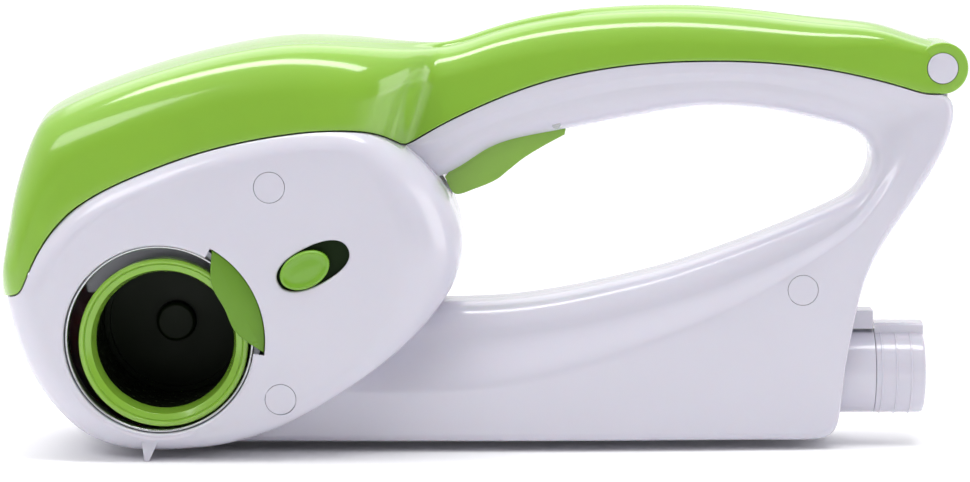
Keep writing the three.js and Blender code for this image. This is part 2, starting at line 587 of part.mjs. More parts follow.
const drumShell = () => {
  const inner = DRUM.radius - 0.8;
  return turned(DRUM.x, DRUM.z, [
    [inner, DRUM.shellFront + 1], [DRUM.radius, DRUM.shellFront + 1],
    [DRUM.radius, DRUM.shellBack], [inner, DRUM.shellBack],
  ], 36);
};

const drumRing = () => turned(DRUM.x, DRUM.z, [
  [RING.outer, DRUM.front + 0.8], [RING.outer, DRUM.front + 6.5], [DRUM.radius + GAP, DRUM.front + 6.5],
  [DRUM.radius + GAP, DRUM.shellFront + GAP], [DRUM.radius - 1.2, DRUM.shellFront + GAP],
  [DRUM.radius - 1.2, DRUM.shellFront + 5], [RING.bore + 1.4, DRUM.shellFront + 5],
  [RING.bore, DRUM.front + RING.depth], [RING.groove - 0.3, DRUM.front + 0.4],
  [RING.groove, DRUM.front + 0.6],
  [RING.groove + 0.3, DRUM.front], [RING.outer - 0.8, DRUM.front],
], 32);

const drumEnd = () => joined(rod(DRUM.x, DRUM.z, 6, 8.8, 10.3, 20), turned(DRUM.x, DRUM.z, [
  [DRUM.radius - 1.2, DRUM.shellBack - 3], [DRUM.radius - 1.2, DRUM.shellBack + GAP],
  [DRUM.radius, DRUM.shellBack + GAP], [DRUM.radius, DRUM.shellBack + 2],
  [9, DRUM.shellBack + 2], [9, 18.5], [4.3, 18.5], [4.3, 10], [7, 10], [7, 13],
  [DRUM.radius - 3.2, 13], [DRUM.radius - 3.2, 12],
], 24));

const spindle = () => joined(
  rod(DRUM.x, DRUM.z, 4, 10.5, 24, 6),
  rod(DRUM.x, DRUM.z, 5.5, 23.5, 31.2, 20),
  rod(DRUM.x, DRUM.z, 3, 30, 40.5, 16),
);

const seatRing = () => tube(
  MOUTH.x, MOUTH.z, MOUTH.radius - GAP, MOUTH.radius - GAP - 1, DRUM.front + 0.1, -35.2, 36,
);

function gearPlate() {
  const outline = [
    [-139, 60], [-134, 30], [-122, 12], [-88, 11], [-79, 13], [-77, 26],
    [-46, 36], [-44, 68], [-50, 76], [-84, 80], [-132, 69],
  ];
  return without(
    prism(outline, 19.2, 21.6),
    rod(DRUM.x, DRUM.z, 10.3, 10, 30, 24),
    rod(IDLER.x, IDLER.z, 1.8, 10, 30, 12),
    rod(MOTOR.x, MOTOR.z, 4.2, 10, 30, 20),
    ...motorScrewPlaces().map(([x, z]) => rod(x, z, 1.7, 10, 30, 12)),
    ...PLATE_SCREWS.map(([x, z]) => rod(x, z, 1.5, 10, 30, 10)),
  );
}
const plateScrew = ([x, z]) => joined(rod(x, z, 2.8, 17, 18.9, 14), rod(x, z, 1.2, 18.5, 32, 8));

const motorScrewPlaces = () => [1, -1].map((s) => [MOTOR.x, MOTOR.z + 9 * s]);
const spindleBush = () => turned(DRUM.x, DRUM.z, [
  [10, 18.7], [10, 23], [5.9, 23], [5.9, 18.7],
], 24);
const idlerPin = () => joined(
  rod(IDLER.x, IDLER.z, 1.5, 18.9, 40.5, 12), rod(IDLER.x, IDLER.z, 3, 38.4, 39.6, 16),
);

function motorCan() {
  const { x, z, radius, front, back } = MOTOR;
  const can = rod(x, z, radius, front, back, 28);
  const flats = [x - 17, x + 17].map((side) => (
    block(side - 4.5, side + 4.5, front - 1, back + 1, z - 20, z + 20)
  ));
  return without(
    can,
    ...flats,
    rod(x, z, 12.6, front - 1, back - 2, 24),
    rod(x, z, 2, 0, 30, 12),
    ...motorScrewPlaces().map(([sx, sz]) => rod(sx, sz, 1.3, 14, 30, 12)),
  );
}
const motorEnd = () => without(
  rod(MOTOR.x, MOTOR.z, 12.3, MOTOR.front - 1, MOTOR.front + 3, 28),
  rod(MOTOR.x, MOTOR.z, 1.4, -40, -10, 12),
);
const armature = () => joined(
  rod(MOTOR.x, MOTOR.z, 1, MOTOR.front - 0.5, 31, 10),
  rod(MOTOR.x, MOTOR.z, 9.5, -14, 10, 12),
);
const motorScrew = ([x, z]) => joined(rod(x, z, 2.4, 21.9, 23.3, 14), rod(x, z, 1, 15, 22, 8));

// ---------------------------------------------------------------- drum latch
// The leaf is the lens between two arcs: the window's outer edge and a curve that bulges over the drum.
function latchSlider() {
  const leafOuter = arc(MOUTH.x, MOUTH.z, LEAF.outer, LEAF.from + 1, LEAF.to - 1, 14);
  const first = leafOuter[0];
  const last = leafOuter[leafOuter.length - 1];
  const bulge = latchPlace(LEAF.tip, -0.5);
  const [lower, upper] = [bulgePoint(first, bulge, 0.45), bulgePoint(last, bulge, 0.45)];
  const inner = smoothRows([first, lower, bulge, upper, last], 4).reverse().slice(1, -1);
  const leaf = prism([...leafOuter, ...inner], LEAF.front, LEAF.back);
  const strip = latchBlock([34, 59], [-4, 4], SLIDER.front, SLIDER.back);
  const arm = latchBlock([40, 46], [-13.5, -3], SLIDER.front, SLIDER.back);
  const rail = latchBlock([40, SPRING.start - GAP], [-13.5, -9.5], SLIDER.front, SLIDER.back);
  const heel = latchBlock([SPRING.start - 2, SPRING.start - GAP], [-13.5, -9.5], -41, -37.2);
  return joined(leaf, strip, arm, rail, heel);
}

// A point between a leaf tip and the bulge, pushed outwards so that the curve is round.
function bulgePoint(tip, bulge, part) {
  const [mx, mz] = [tip[0] + (bulge[0] - tip[0]) * part, tip[1] + (bulge[1] - tip[1]) * part];
  const [dx, dz] = [MOUTH.x - mx, MOUTH.z - mz];
  const length = Math.hypot(dx, dz);
  return [mx + (3.2 * dx) / length, mz + (3.2 * dz) / length];
}

function latchSpring() {
  const [x, z] = latchPlace(SPRING.start, SPRING.across);
  const length = SPRING.end - SPRING.start;
  return coil([x, SPRING.y, z], [ALONG[0], 0, ALONG[1]], length, SPRING.radius, SPRING.wire, 5);
}

// A block set square to the latch's slide, from its ranges along, across and in depth.
function latchBlock([from, to], [low, high], y0, y1) {
  const corners = [latchPlace(from, low), latchPlace(to, low), latchPlace(to, high), latchPlace(from, high)];
  return prism(corners, y0, y1);
}

function latchButton() {
  const face = -HEAD_HALF - BUTTON.proud;
  const sections = [
    [face, 2.4], [face + 0.4, 1], [face + 1.2, 0], [-42.2, 0],
  ].map(([y, shrink]) => oval(BUTTON.along, SLOT.across, BUTTON.length - shrink, BUTTON.width - shrink, 28)
    .map(([x, z]) => [x, y, z]));
  return loft(sections);
}

// ---------------------------------------------------------------- trigger and switch
function trigger() {
  const lower = smoothRows([
    [-13.8, 91.5], [-10.3, 85.6], [-3, 87.5], [4, 90.5], [8.5, 94], [13.8, 98.2], [20.6, 102.4], [28, 106.4],
  ], 2);
  const outline = [...lower, [29, 111.6], [22, 112.4], [16, 106.4], [10, 105], [0, 103], [-9, 98]];
  return without(
    prism(outline, -TRIGGER.half, TRIGGER.half),
    rod(...TRIGGER_PIVOT, TRIGGER.pinRadius + GAP, -20, 20, 12),
  );
}
const triggerPin = () => rod(...TRIGGER_PIVOT, TRIGGER.pinRadius, -TRIGGER.pinHalf, TRIGGER.pinHalf, 12);
const switchBody = () => without(block(3, 15, -4, 4, 108, 114.4), block(5.4, 8.6, -1.6, 1.6, 107, 113));
const switchPlunger = () => block(5.8, 8.2, -1.2, 1.2, 105.4, 110.8);

// ---------------------------------------------------------------- battery pack
function batteryCase() {
  const { z, radius, wall, from, neck } = BATTERY;
  return without(bar(0, z, radius, from, neck - GAP, 40), bar(0, z, radius - wall, from + 2, neck + 5, 32));
}
function batteryCap() {
  const { z, radius, wall, neck, end } = BATTERY;
  const ribs = [139.3, 144.4, 149.6].map((x) => bar(0, z, radius + 0.35, x, x + 0.7, 28));
  const key = block(neck, end, -5, 5, z + radius - 3, z + radius + 2.7);
  const hollow = bar(0, z, radius - wall, neck - 1, end - wall, 32);
  const skin = without(bar(0, z, radius, neck, end, 28), hollow);
  const openKey = key.subtract(bar(0, z, radius - wall, neck - 1, end + 1, 32));
  const ribRoom = bar(0, z, radius - 1, 130, 160, 32);
  return joined(skin, openKey, ...ribs.map((rib) => rib.subtract(ribRoom)));
}
function cell(index) {
  const start = CELL.start + CELL.pitch * index;
  const end = start + CELL.length;
  return joined(
    bar(0, BATTERY.z, CELL.radius, start, end, 24),
    bar(0, BATTERY.z, 3.4, end - 0.4, end + 1.2, 12),
  );
}
const batteryTab = () => joined(
  block(126, 137, -4.8, 4.8, 37.4, 43.8),
  block(124, 127, -8, 8, 37.4, 43.4),
);
const contact = (side) => joined(
  block(14, 14.6, side * 5 - 2, side * 5 + 2, 14, 30),
  block(14, 19.6, side * 5 - 2, side * 5 + 2, 21.5, 22.1),
);

// ---------------------------------------------------------------- wires
// Routes of the three insulated wires, from terminal to terminal.
const WIRE_ROUTES = {
  battery_to_motor: [
    [12.6, -5, 20], [6, -6, 17], [-14, -8, 18], [-34, -10, 26],
    [-44, -15, 31], [-52, -27, 35], [-60, -30, 44], [-62, -26, 47],
  ],
  battery_to_switch: [
    [12.6, 5, 20], [4, 6, 20], [-18, 8, 26], [-30, 8, 50],
    [-28, 8, 80], [-20, 7, 100], [-6, 6, 107], [1.8, 1.5, 110],
  ],
  switch_to_motor: [
    [1.8, -1.5, 112], [-7, -6, 108], [-24, -8, 97], [-34, -20, 80],
    [-46, -28, 62], [-56, -30, 54], [-60, -29, 53], [-60, -26, 53],
  ],
};
const wire = (route) => strand(route.map((p) => new THREE.Vector3(...p)), 0.8, 14, 5);

// ---------------------------------------------------------------- the assembly
const grater = new THREE.Group();
grater.position.z = LIFT;

function place(name, solid, material) {
  const mesh = new THREE.Mesh(geometryOf(solid), material);
  mesh.name = name;
  grater.add(mesh);
}

const body = housingBody();
place('near_housing', housingHalf(body, -1), WHITE);
place('far_housing', housingHalf(body, 1), WHITE);
SCREW_POSTS.forEach((post) => place(`screw_cap_${post.name}`, screwCap(post), WHITE));
SCREW_POSTS.forEach((post) => place(`housing_screw_${post.name}`, housingScrew(post), STEEL));
place('food_chute', foodChute(), WHITE);

place('lever_shell', leverShell(), GREEN);
place('presser_foot', presser(), GREEN);
PRESSER_SCREWS.forEach((x, i) => place(`presser_screw_${i + 1}`, presserScrew(x), STEEL));
place('lever_pin', rod(PIN.x, PIN.z, PIN.radius, 1.8 - BARREL.half, BARREL.half - 1.8, 16), STEEL);
place('pin_cap_near', rod(PIN.x, PIN.z, PIN_CAP_RADIUS, -BARREL.half - 0.5, 1.4 - BARREL.half, 28), WHITE);
place('pin_cap_far', rod(PIN.x, PIN.z, PIN_CAP_RADIUS, BARREL.half - 1.4, BARREL.half + 0.5, 28), WHITE);

place('drum_shell', drumShell(), STEEL);
place('drum_ring', drumRing(), GREEN);
place('drum_end', drumEnd(), DARK_GREEN);
place('drive_spindle', spindle(), ACETAL);
place('drum_gear', drumGear(), ACETAL);
place('seat_ring', seatRing(), STEEL);
place('spindle_bush', spindleBush(), BRASS);
place('idler_gear', idlerGear(), ACETAL);
place('idler_pin', idlerPin(), STEEL);
place('gear_plate', gearPlate(), GREY_PLASTIC);

place('motor_can', motorCan(), STEEL);
place('motor_end_cap', motorEnd(), BLACK_PLASTIC);
place('motor_armature', armature(), STEEL);
place('motor_pinion', motorPinion(), BRASS);
PLATE_SCREWS.forEach((spot, i) => place(`plate_screw_${i + 1}`, plateScrew(spot), STEEL));
motorScrewPlaces().forEach((spot, i) => place(`motor_screw_${i + 1}`, motorScrew(spot), STEEL));

place('latch_slider', latchSlider(), GREEN);
place('latch_button', latchButton(), GREEN);
place('latch_spring', latchSpring(), STEEL);

place('trigger', trigger(), GREEN);
place('trigger_pin', triggerPin(), STEEL);
place('trigger_spring', coil([-3, 0, 102.9], [0, 0, 1], 9.6, 2.4, 0.35, 4), STEEL);
place('switch_body', switchBody(), BLACK_PLASTIC);
place('switch_plunger', switchPlunger(), GREY_PLASTIC);

place('battery_case', batteryCase(), WHITE);
place('battery_cap', batteryCap(), WHITE);
[0, 1, 2].forEach((i) => place(`battery_cell_${i + 1}`, cell(i), STEEL));
place('battery_tab', batteryTab(), WHITE);
place('battery_contact_1', contact(-1), BRASS);
place('battery_contact_2', contact(1), BRASS);
Object.entries(WIRE_ROUTES).forEach(([name, route]) => place(`wire_${name}`, wire(route), RED));

export default grater;
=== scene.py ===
"""A cordless electric drum grater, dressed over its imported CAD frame.

Outlines are in millimetres, X right, Z up from the flat base, and the drum's axis along Y.
to_world() turns them into the frame's metres.
"""
import json
import math

import bmesh
import bpy
import numpy as np
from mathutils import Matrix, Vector
from mathutils.bvhtree import BVHTree


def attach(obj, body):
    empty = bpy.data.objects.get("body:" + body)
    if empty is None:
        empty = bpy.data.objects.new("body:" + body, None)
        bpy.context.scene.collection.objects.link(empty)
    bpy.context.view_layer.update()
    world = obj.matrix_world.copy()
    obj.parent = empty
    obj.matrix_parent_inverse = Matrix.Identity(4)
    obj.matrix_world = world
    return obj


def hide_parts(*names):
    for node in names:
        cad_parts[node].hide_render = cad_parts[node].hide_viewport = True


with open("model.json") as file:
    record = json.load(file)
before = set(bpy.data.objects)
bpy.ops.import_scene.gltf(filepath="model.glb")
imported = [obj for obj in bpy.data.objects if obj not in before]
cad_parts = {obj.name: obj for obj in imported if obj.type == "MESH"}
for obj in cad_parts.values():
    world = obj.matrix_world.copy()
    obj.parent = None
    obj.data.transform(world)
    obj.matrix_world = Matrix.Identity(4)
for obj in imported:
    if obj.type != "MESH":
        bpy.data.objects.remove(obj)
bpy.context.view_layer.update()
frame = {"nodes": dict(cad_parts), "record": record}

# ------------------------------------------------------------------ driving dimensions (mm)
LIFT = 3.5              # height of the flat base above the floor: the underside fin's length
WALL = 2.4              # moulded wall
HEAD_HALF = 45.0        # half the width of the head
CROWN = 0.9             # how much the head's faces dome outwards
SPLIT = 0.12            # half the parting line between the housing halves
SEAM_GAP = 0.45         # gap between the lever's rim and the housing
MOUTH = (-111.4, 39.0, 32.6)            # x, z, radius
DRUM = (-110.0, 37.8)
DRUM_FRONT = -41.3
SHELL_FRONT, SHELL_BACK = -34.0, 15.0
DRUM_RADIUS = 27.0
SLIDE_ANGLE = math.radians(27)
SLOT = (58.9, -1.1, 26.6, 13.2)         # along, across, length, width
BUTTON = (55.7, -1.1, 18.0, 12.4)
LEAF_OUTER, LEAF_TIP = 36.3, 25.0
LEAF_FROM, LEAF_TO = -8.0, 60.5
LEAF_FRONT, LEAF_BACK = -43.3, -41.6
PIN = (159.1, 129.9)
BARREL_RADIUS, BARREL_HALF = 9.0, 13.5
KNUCKLE_RADIUS, KNUCKLE_HALF = 7.2, 8.8
BATTERY_Z, BATTERY_RADIUS = 21.8, 14.9
BATTERY_NECK, BATTERY_END = 137.5, 155.0
CAPS = (("head_top", -73.2, 91.6), ("head_bottom", -69.8, 18.6), ("rear", 111.0, 52.9))
CAP_RADIUS = 5.2
TRIGGER_HALF = 8.4
TRIGGER_PIVOT = (25, 110.2)
TRIGGER_OPENING = [
    (-11.6, 84), (31, 84), (30.8, 112.4), (22, 113.8),
    (8, 112), (-12, 106), (-17.6, 99.5), (-17.4, 92.5),
]
FIN = [(-118.2, 6), (-116.9, -LIFT), (-115.4, -LIFT), (-111, 6)]
POST_RADIUS = 5.9
PIN_CAP_RADIUS = 5.3
LATCH_FRONT, LATCH_BACK = -41.9, -40.2  # the latch slider's flat strips
CHUTE_HALF, CHUTE_WIDTH, CHUTE_Y = 22, 19, -9
BATTERY_WALL = 1.8

# Edge of the head, anticlockwise from the front: x, z, rounding radius of its side.
HEAD_EDGE = [
    (-164.4, 50, 14), (-162.3, 42, 14), (-159.7, 33.2, 14), (-155.7, 24.6, 14), (-151.4, 17.8, 14),
    (-146.3, 11.8, 14), (-140.2, 6.4, 13), (-133.4, 2.5, 13), (-125.8, 0.1, 13), (-117, -0.8, 12),
    (-106, -0.4, 11), (-94, 0.8, 10), (-82, 3.6, 9), (-67, 9.5, 7), (-53, 17.5, 7),
    (-39.4, 26.4, 8), (-28.5, 34.8, 12), (-20, 43, 16), (-13, 52, 20), (-9, 60, 21),
    (-7.4, 69.5, 21), (-9.7, 80, 21), (-14.5, 90, 20), (-21.5, 98.5, 18), (-29, 105, 15),
    (-39, 110.5, 11), (-52, 112.3, 9), (-73, 110.5, 9), (-97, 105.2, 9), (-114, 99, 9),
    (-128, 93, 9), (-141, 85, 9), (-152, 74, 10), (-160.2, 65, 13), (-164, 57.5, 14),
]

# Loop of the lower body, rear post and handle, one cross-section a row: outer x, z, inner x, z,
# half-width of the side, half-width at the inner edge, and where the sloping band starts and ends.
LOOP = [
    (-92, 0, -58, 48, 24, 17, 0.4, 0.76), (-60, 0, -36, 47, 24, 17, 0.4, 0.76),
    (-30, 0, -14, 47.6, 24, 17, 0.39, 0.76), (0, 0, 5, 48, 24, 17, 0.42, 0.76),
    (30, 0, 25, 50.5, 23.6, 17, 0.5, 0.78), (58, 0, 43, 54.2, 22.6, 16.6, 0.59, 0.8),
    (84, 0, 62, 58.6, 21.4, 16, 0.67, 0.83), (106, 0, 81, 64.8, 20.2, 15.5, 0.73, 0.85),
    (120, 0.6, 99, 71.5, 19.2, 15.2, 0.78, 0.87), (124.4, 8, 112, 76.9, 18.6, 15, 0.8, 0.87),
    (126, 23, 121.5, 81.2, 18.2, 15, 0.78, 0.86), (129.2, 40, 128.4, 85, 18, 15, 0.74, 0.84),
    (134.6, 61.5, 133.2, 90.4, 18, 15, 0.62, 0.76), (148, 82, 135.2, 97, 17.6, 15.2, 0.5, 0.7),
    (160.4, 103, 134, 103.4, 15.8, 14.4, 0.45, 0.7), (162.8, 119, 128.6, 108.4, 14.4, 13.6, 0.4, 0.68),
    (150, 123, 118, 111.2, 15.6, 14.4, 0.35, 0.62), (130, 129, 104, 114.3, 17.6, 16, 0.3, 0.55),
    (106, 133, 90, 115.9, 18, 16, 0.3, 0.5), (84, 134.5, 75, 116.2, 18, 16, 0.3, 0.5),
    (58, 134, 58, 113.7, 18, 16, 0.3, 0.5), (40, 131.5, 42, 110.8, 18, 16, 0.3, 0.5),
    (22, 127.5, 26, 107.6, 18, 16, 0.3, 0.52), (5, 121.5, 12, 105, 18, 16, 0.3, 0.54),
    (-10, 115, 0, 100.9, 18, 16, 0.3, 0.56), (-24, 109, -13, 92, 18, 16, 0.3, 0.56),
    (-45, 108, -38, 84, 18, 16, 0.3, 0.56),
]

# Sections of the lever, front to hinge: rim x, z, top x, z, half-width, corner radius.
LEVER = [
    (-167, 52.2, -167, 54.2, 24, 12), (-164.6, 53, -166.8, 60.6, 33, 15),
    (-161.5, 54, -165.9, 68.6, 38.5, 17), (-158.6, 55.8, -164.6, 78, 40.5, 18),
    (-155.6, 63, -162.6, 89, 41, 18), (-150.1, 73.2, -158.9, 101.4, 41, 18),
    (-143, 81.4, -154.4, 112, 41, 18), (-137, 86, -148.8, 117.2, 41, 18),
    (-127.7, 91.4, -136.5, 123, 41, 18), (-114, 97.2, -119.5, 129.2, 41, 18),
    (-96.9, 103.3, -99.6, 135, 41, 18), (-78, 107.7, -78, 139.5, 41, 18),
    (-60, 110.3, -60.4, 140.8, 41, 18), (-46, 110.4, -44, 140, 39, 18),
    (-38, 109.2, -32.5, 139, 34.5, 18), (-32, 106.6, -24, 138.4, 27.5, 16),
    (-28.4, 104.3, -17.5, 138.2, 20.5, 15), (-25, 105, -12.5, 138.6, 18, 14),
    (-15.4, 110.6, -5, 140.6, 18, 14), (-1.6, 117.2, 5.6, 144.2, 18, 14),
    (15.7, 124.1, 19.6, 147.5, 18, 14), (33, 128.7, 34, 149.7, 18, 14),
    (53.8, 131.8, 54, 151.1, 18, 13), (74.5, 132.8, 75, 151.1, 18, 13),
    (95.2, 132.5, 96, 149.4, 18, 12), (116, 130.4, 117, 146.8, 18, 10),
    (133.4, 126.9, 135, 145.3, 17.6, 7), (145.5, 123.6, 147, 141.6, 16, 5),
    (152.6, 121.4, 154.5, 139.4, 14.6, 4), (158.6, 121.1, 160, 138.4, 13.5, 4),
]


# ------------------------------------------------------------------ curves
def spline(rows, steps, closed=False):
    """A smooth cubic B-spline that all but touches its rows, with `steps` samples for each row."""
    rows = np.array(rows, float)
    bend = np.roll(rows, 1, 0) - 2 * rows + np.roll(rows, -1, 0)
    if not closed:
        bend[[0, -1]] = 0
    rows = rows - bend / 6
    if not closed:
        rows = np.vstack([rows[:1], rows[:1], rows, rows[-1:], rows[-1:]])
    count = len(rows)
    spans = count if closed else count - 3
    out = []
    for i in range(spans):
        picked = [rows[(i + k) % count] for k in range(4)]
        for step in range(steps):
            t = step / steps
            weights = ((1 - t) ** 3, 3 * t ** 3 - 6 * t ** 2 + 4,
                       -3 * t ** 3 + 3 * t ** 2 + 3 * t + 1, t ** 3)
            out.append(sum(w * p for w, p in zip(weights, picked)) / 6)
    if not closed:
        out.append(rows[-1])
    return np.array(out)


def normals(points, side, closed=False):
    """Unit normals of a run of (x, z) points, on the side asked for."""
    points = np.asarray(points, float)
    if closed:
        tangent = np.roll(points, -1, 0) - np.roll(points, 1, 0)
    else:
        tangent = np.gradient(points, axis=0)
    tangent /= np.linalg.norm(tangent, axis=1)[:, None] + 1e-12
    return side * np.column_stack([-tangent[:, 1], tangent[:, 0]])


def arc(x, z, radius, start, stop, count):
    """Points on an arc in degrees, both ends included."""
    angles = np.radians(np.linspace(start, stop, count + 1))
    return [(x + radius * math.cos(a), z + radius * math.sin(a)) for a in angles]


def latch_place(along, across):
    """A point given along and across the latch's slide, from the mouth's centre."""
    c, s = math.cos(SLIDE_ANGLE), math.sin(SLIDE_ANGLE)
    return MOUTH[0] + along * c - across * s, MOUTH[1] + along * s + across * c


def oval(along, across, length, width, count=64, fullness=1.0):
    """An oval along the slide; a fullness above 1 squares it off a little."""
    points = []
    for a in np.linspace(0, 2 * math.pi, count, endpoint=False):
        c, s = math.cos(a), math.sin(a)
        u = math.copysign(abs(c) ** (1 / fullness), c) * length / 2
        v = math.copysign(abs(s) ** (1 / fullness), s) * width / 2
        points.append(latch_place(along + u, across + v))
    return points


# ------------------------------------------------------------------ meshes
def to_world(point):
    """Millimetres above the base to the frame's metres."""
    x, y, z = point
    return Vector((x * 0.001, y * 0.001, (z + LIFT) * 0.001))


def piece(name, points, faces):
    """A mesh object from points in millimetres, with its faces pointing out."""
    mesh = bpy.data.meshes.new(name)
    mesh.from_pydata([to_world(p) for p in points], [], [tuple(f) for f in faces])
    bm = bmesh.new()
    bm.from_mesh(mesh)
    bmesh.ops.remove_doubles(bm, verts=bm.verts, dist=1e-7)
    bmesh.ops.recalc_face_normals(bm, faces=bm.faces)
    bm.to_mesh(mesh)
    bm.free()
    made = bpy.data.objects.new(name, mesh)
    bpy.context.scene.collection.objects.link(made)
    return made


def loft(name, sections):
    """A closed solid through closed sections of equal point counts."""
    size = len(sections[0])
    points = [p for section in sections for p in section]
    faces = []
    for i in range(len(sections) - 1):
        for j in range(size):
            k = (j + 1) % size
            faces.append((i * size + j, i * size + k, (i + 1) * size + k, (i + 1) * size + j))
    for start in (0, (len(sections) - 1) * size):
        centre = len(points)
        points.append(np.mean(np.array(points[start:start + size], float), axis=0))
        faces += [(centre, start + j, start + (j + 1) % size) for j in range(size)]
    return piece(name, points, faces)


def prism(name, outline, y0, y1):
    """An (x, z) outline carried along Y."""
    return loft(name, [[(x, y, z) for x, z in outline] for y in (y0, y1)])


def rod(name, x, z, radius, y0, y1, sides=96):
    """A round bar along Y."""
    return prism(name, arc(x, z, radius, 0, 360, sides)[:-1], y0, y1)


def bar(name, y, z, radius, x0, x1, sides=96):
    """A round bar along X."""
    ring = [(y + radius * math.cos(a), z + radius * math.sin(a))
            for a in np.linspace(0, 2 * math.pi, sides, endpoint=False)]
    return loft(name, [[(x, v, w) for v, w in ring] for x in (x0, x1)])


def box(name, x0, x1, y0, y1, z0, z1):
    """A plain block between three pairs of faces."""
    outline = [(x0, z0), (x1, z0), (x1, z1), (x0, z1)]
    return prism(name, outline, y0, y1)


def turned(name, x, z, profile, sides=128):
    """A piece turned about the Y axis through (x, z); profile is a closed run of (radius, y)."""
    sections = []
    for a in np.linspace(0, 2 * math.pi, sides, endpoint=False):
        sections.append([(x + r * math.cos(a), y, z + r * math.sin(a)) for r, y in profile])
    size = len(profile)
    points = [p for section in sections for p in section]
    faces = []
    for i in range(sides):
        for j in range(size):
            a, b = i * size, ((i + 1) % sides) * size
            k = (j + 1) % size
            faces.append((a + j, a + k, b + k, b + j))
    return piece(name, points, faces)


def rounded(profile, radius, steps=4):
    """Rounds every corner of a closed (r, y) profile by up to `radius`."""
    count = len(profile)
    points = [np.array(p, float) for p in profile]
    out = []
    for i in range(count):
        before, here, after = points[i - 1], points[i], points[(i + 1) % count]
        reach_a, reach_b = np.linalg.norm(before - here), np.linalg.norm(after - here)
        cut = min(radius, 0.45 * reach_a, 0.45 * reach_b)
        start = here + (before - here) / reach_a * cut
        stop = here + (after - here) / reach_b * cut
        for step in range(steps + 1):
            t = step / steps
            out.append(tuple((1 - t) ** 2 * start + 2 * t * (1 - t) * here + t ** 2 * stop))
    return out


def boolean(target, tool, operation):
    """Cuts, joins or intersects and throws the tool away."""
    modifier = target.modifiers.new("boolean", "BOOLEAN")
    modifier.operation = operation
    modifier.solver = "MANIFOLD"
    modifier.object = tool
    bake(target)
    old = tool.data
    bpy.data.objects.remove(tool)
    bpy.data.meshes.remove(old)
    return target


def bake(target):
    """Applies every modifier."""
    graph = bpy.context.evaluated_depsgraph_get()
    result = bpy.data.meshes.new_from_object(target.evaluated_get(graph))
    old = target.data
    target.modifiers.clear()
    target.data = result
    bpy.data.meshes.remove(old)
    return target


def cut(target, *tools):
    """Takes each tool away from the target."""
    for tool in tools:
        boolean(target, tool, "DIFFERENCE")
    return target


def join(target, *tools):
    """Adds each tool to the target."""
    for tool in tools:
        boolean(target, tool, "UNION")
    return target


def copy_of(target, name):
    """A second object with its own copy of the mesh."""
    made = bpy.data.objects.new(name, target.data.copy())
    bpy.context.scene.collection.objects.link(made)
    return made


def smooth(target, angle=30):
    """Smooth shading with sharp edges past the angle, then weighted normals."""
    target.data.shade_smooth()
    target.data.set_sharp_from_angle(angle=math.radians(angle))
    weigh = target.modifiers.new("weighted normals", "WEIGHTED_NORMAL")
    weigh.keep_sharp = True
    return target


def bevelled(target, width, segments=2, angle=40):
    """A bevel, its width in millimetres, on edges past the angle."""
    modifier = target.modifiers.new("bevel", "BEVEL")
    modifier.width = width * 0.001
    modifier.segments = segments
    modifier.limit_method = "ANGLE"
    modifier.angle_limit = math.radians(angle)
    modifier.harden_normals = False
    return target


def skin_depth(skin, outline, default):
    """Depth of the near skin under each (x, z) point, found with a ray along +Y."""
    depths = []
    for x, z in outline:
        hit = skin.ray_cast(to_world((x, -80, z)), Vector((0, 1, 0)))[0]
        depths.append(hit.y * 1000 if hit else default)
    return depths


def flared(name, outline, skin, radius, back, default=-HEAD_HALF):
    """A cutter through the near skin whose mouth flares, so that the hole's edge is rounded."""
    outward = normals(outline, 1, closed=True)
    centre = np.mean(np.array(outline), axis=0)
    if np.sum((np.array(outline) - centre) * outward) < 0:
        outward = -outward
    depths = skin_depth(skin, outline, default)
    sections = []
    levels = [(-20.0, radius), (-0.02, radius)]
    steps = 6
    for step in range(1, steps + 1):
        drop = radius * (1 - math.cos(step / steps * math.pi / 2))
        levels.append((drop, radius - math.sqrt(max(radius ** 2 - (radius - drop) ** 2, 0))))
    for drop, grow in levels:
        sections.append([(x + n[0] * grow, d + drop, z + n[1] * grow)
                         for (x, z), n, d in zip(outline, outward, depths)])
    sections.append([(x, back, z) for x, z in outline])
    return loft(name, sections)


# ------------------------------------------------------------------ materials
def node(tree, kind, **values):
    made = tree.nodes.new(kind)
    for key, value in values.items():
        setattr(made, key, value)
    return made


TINT_SCALE, POLISH_SCALE = 14.0, 60.0       # noise cells per metre for colour and for polish


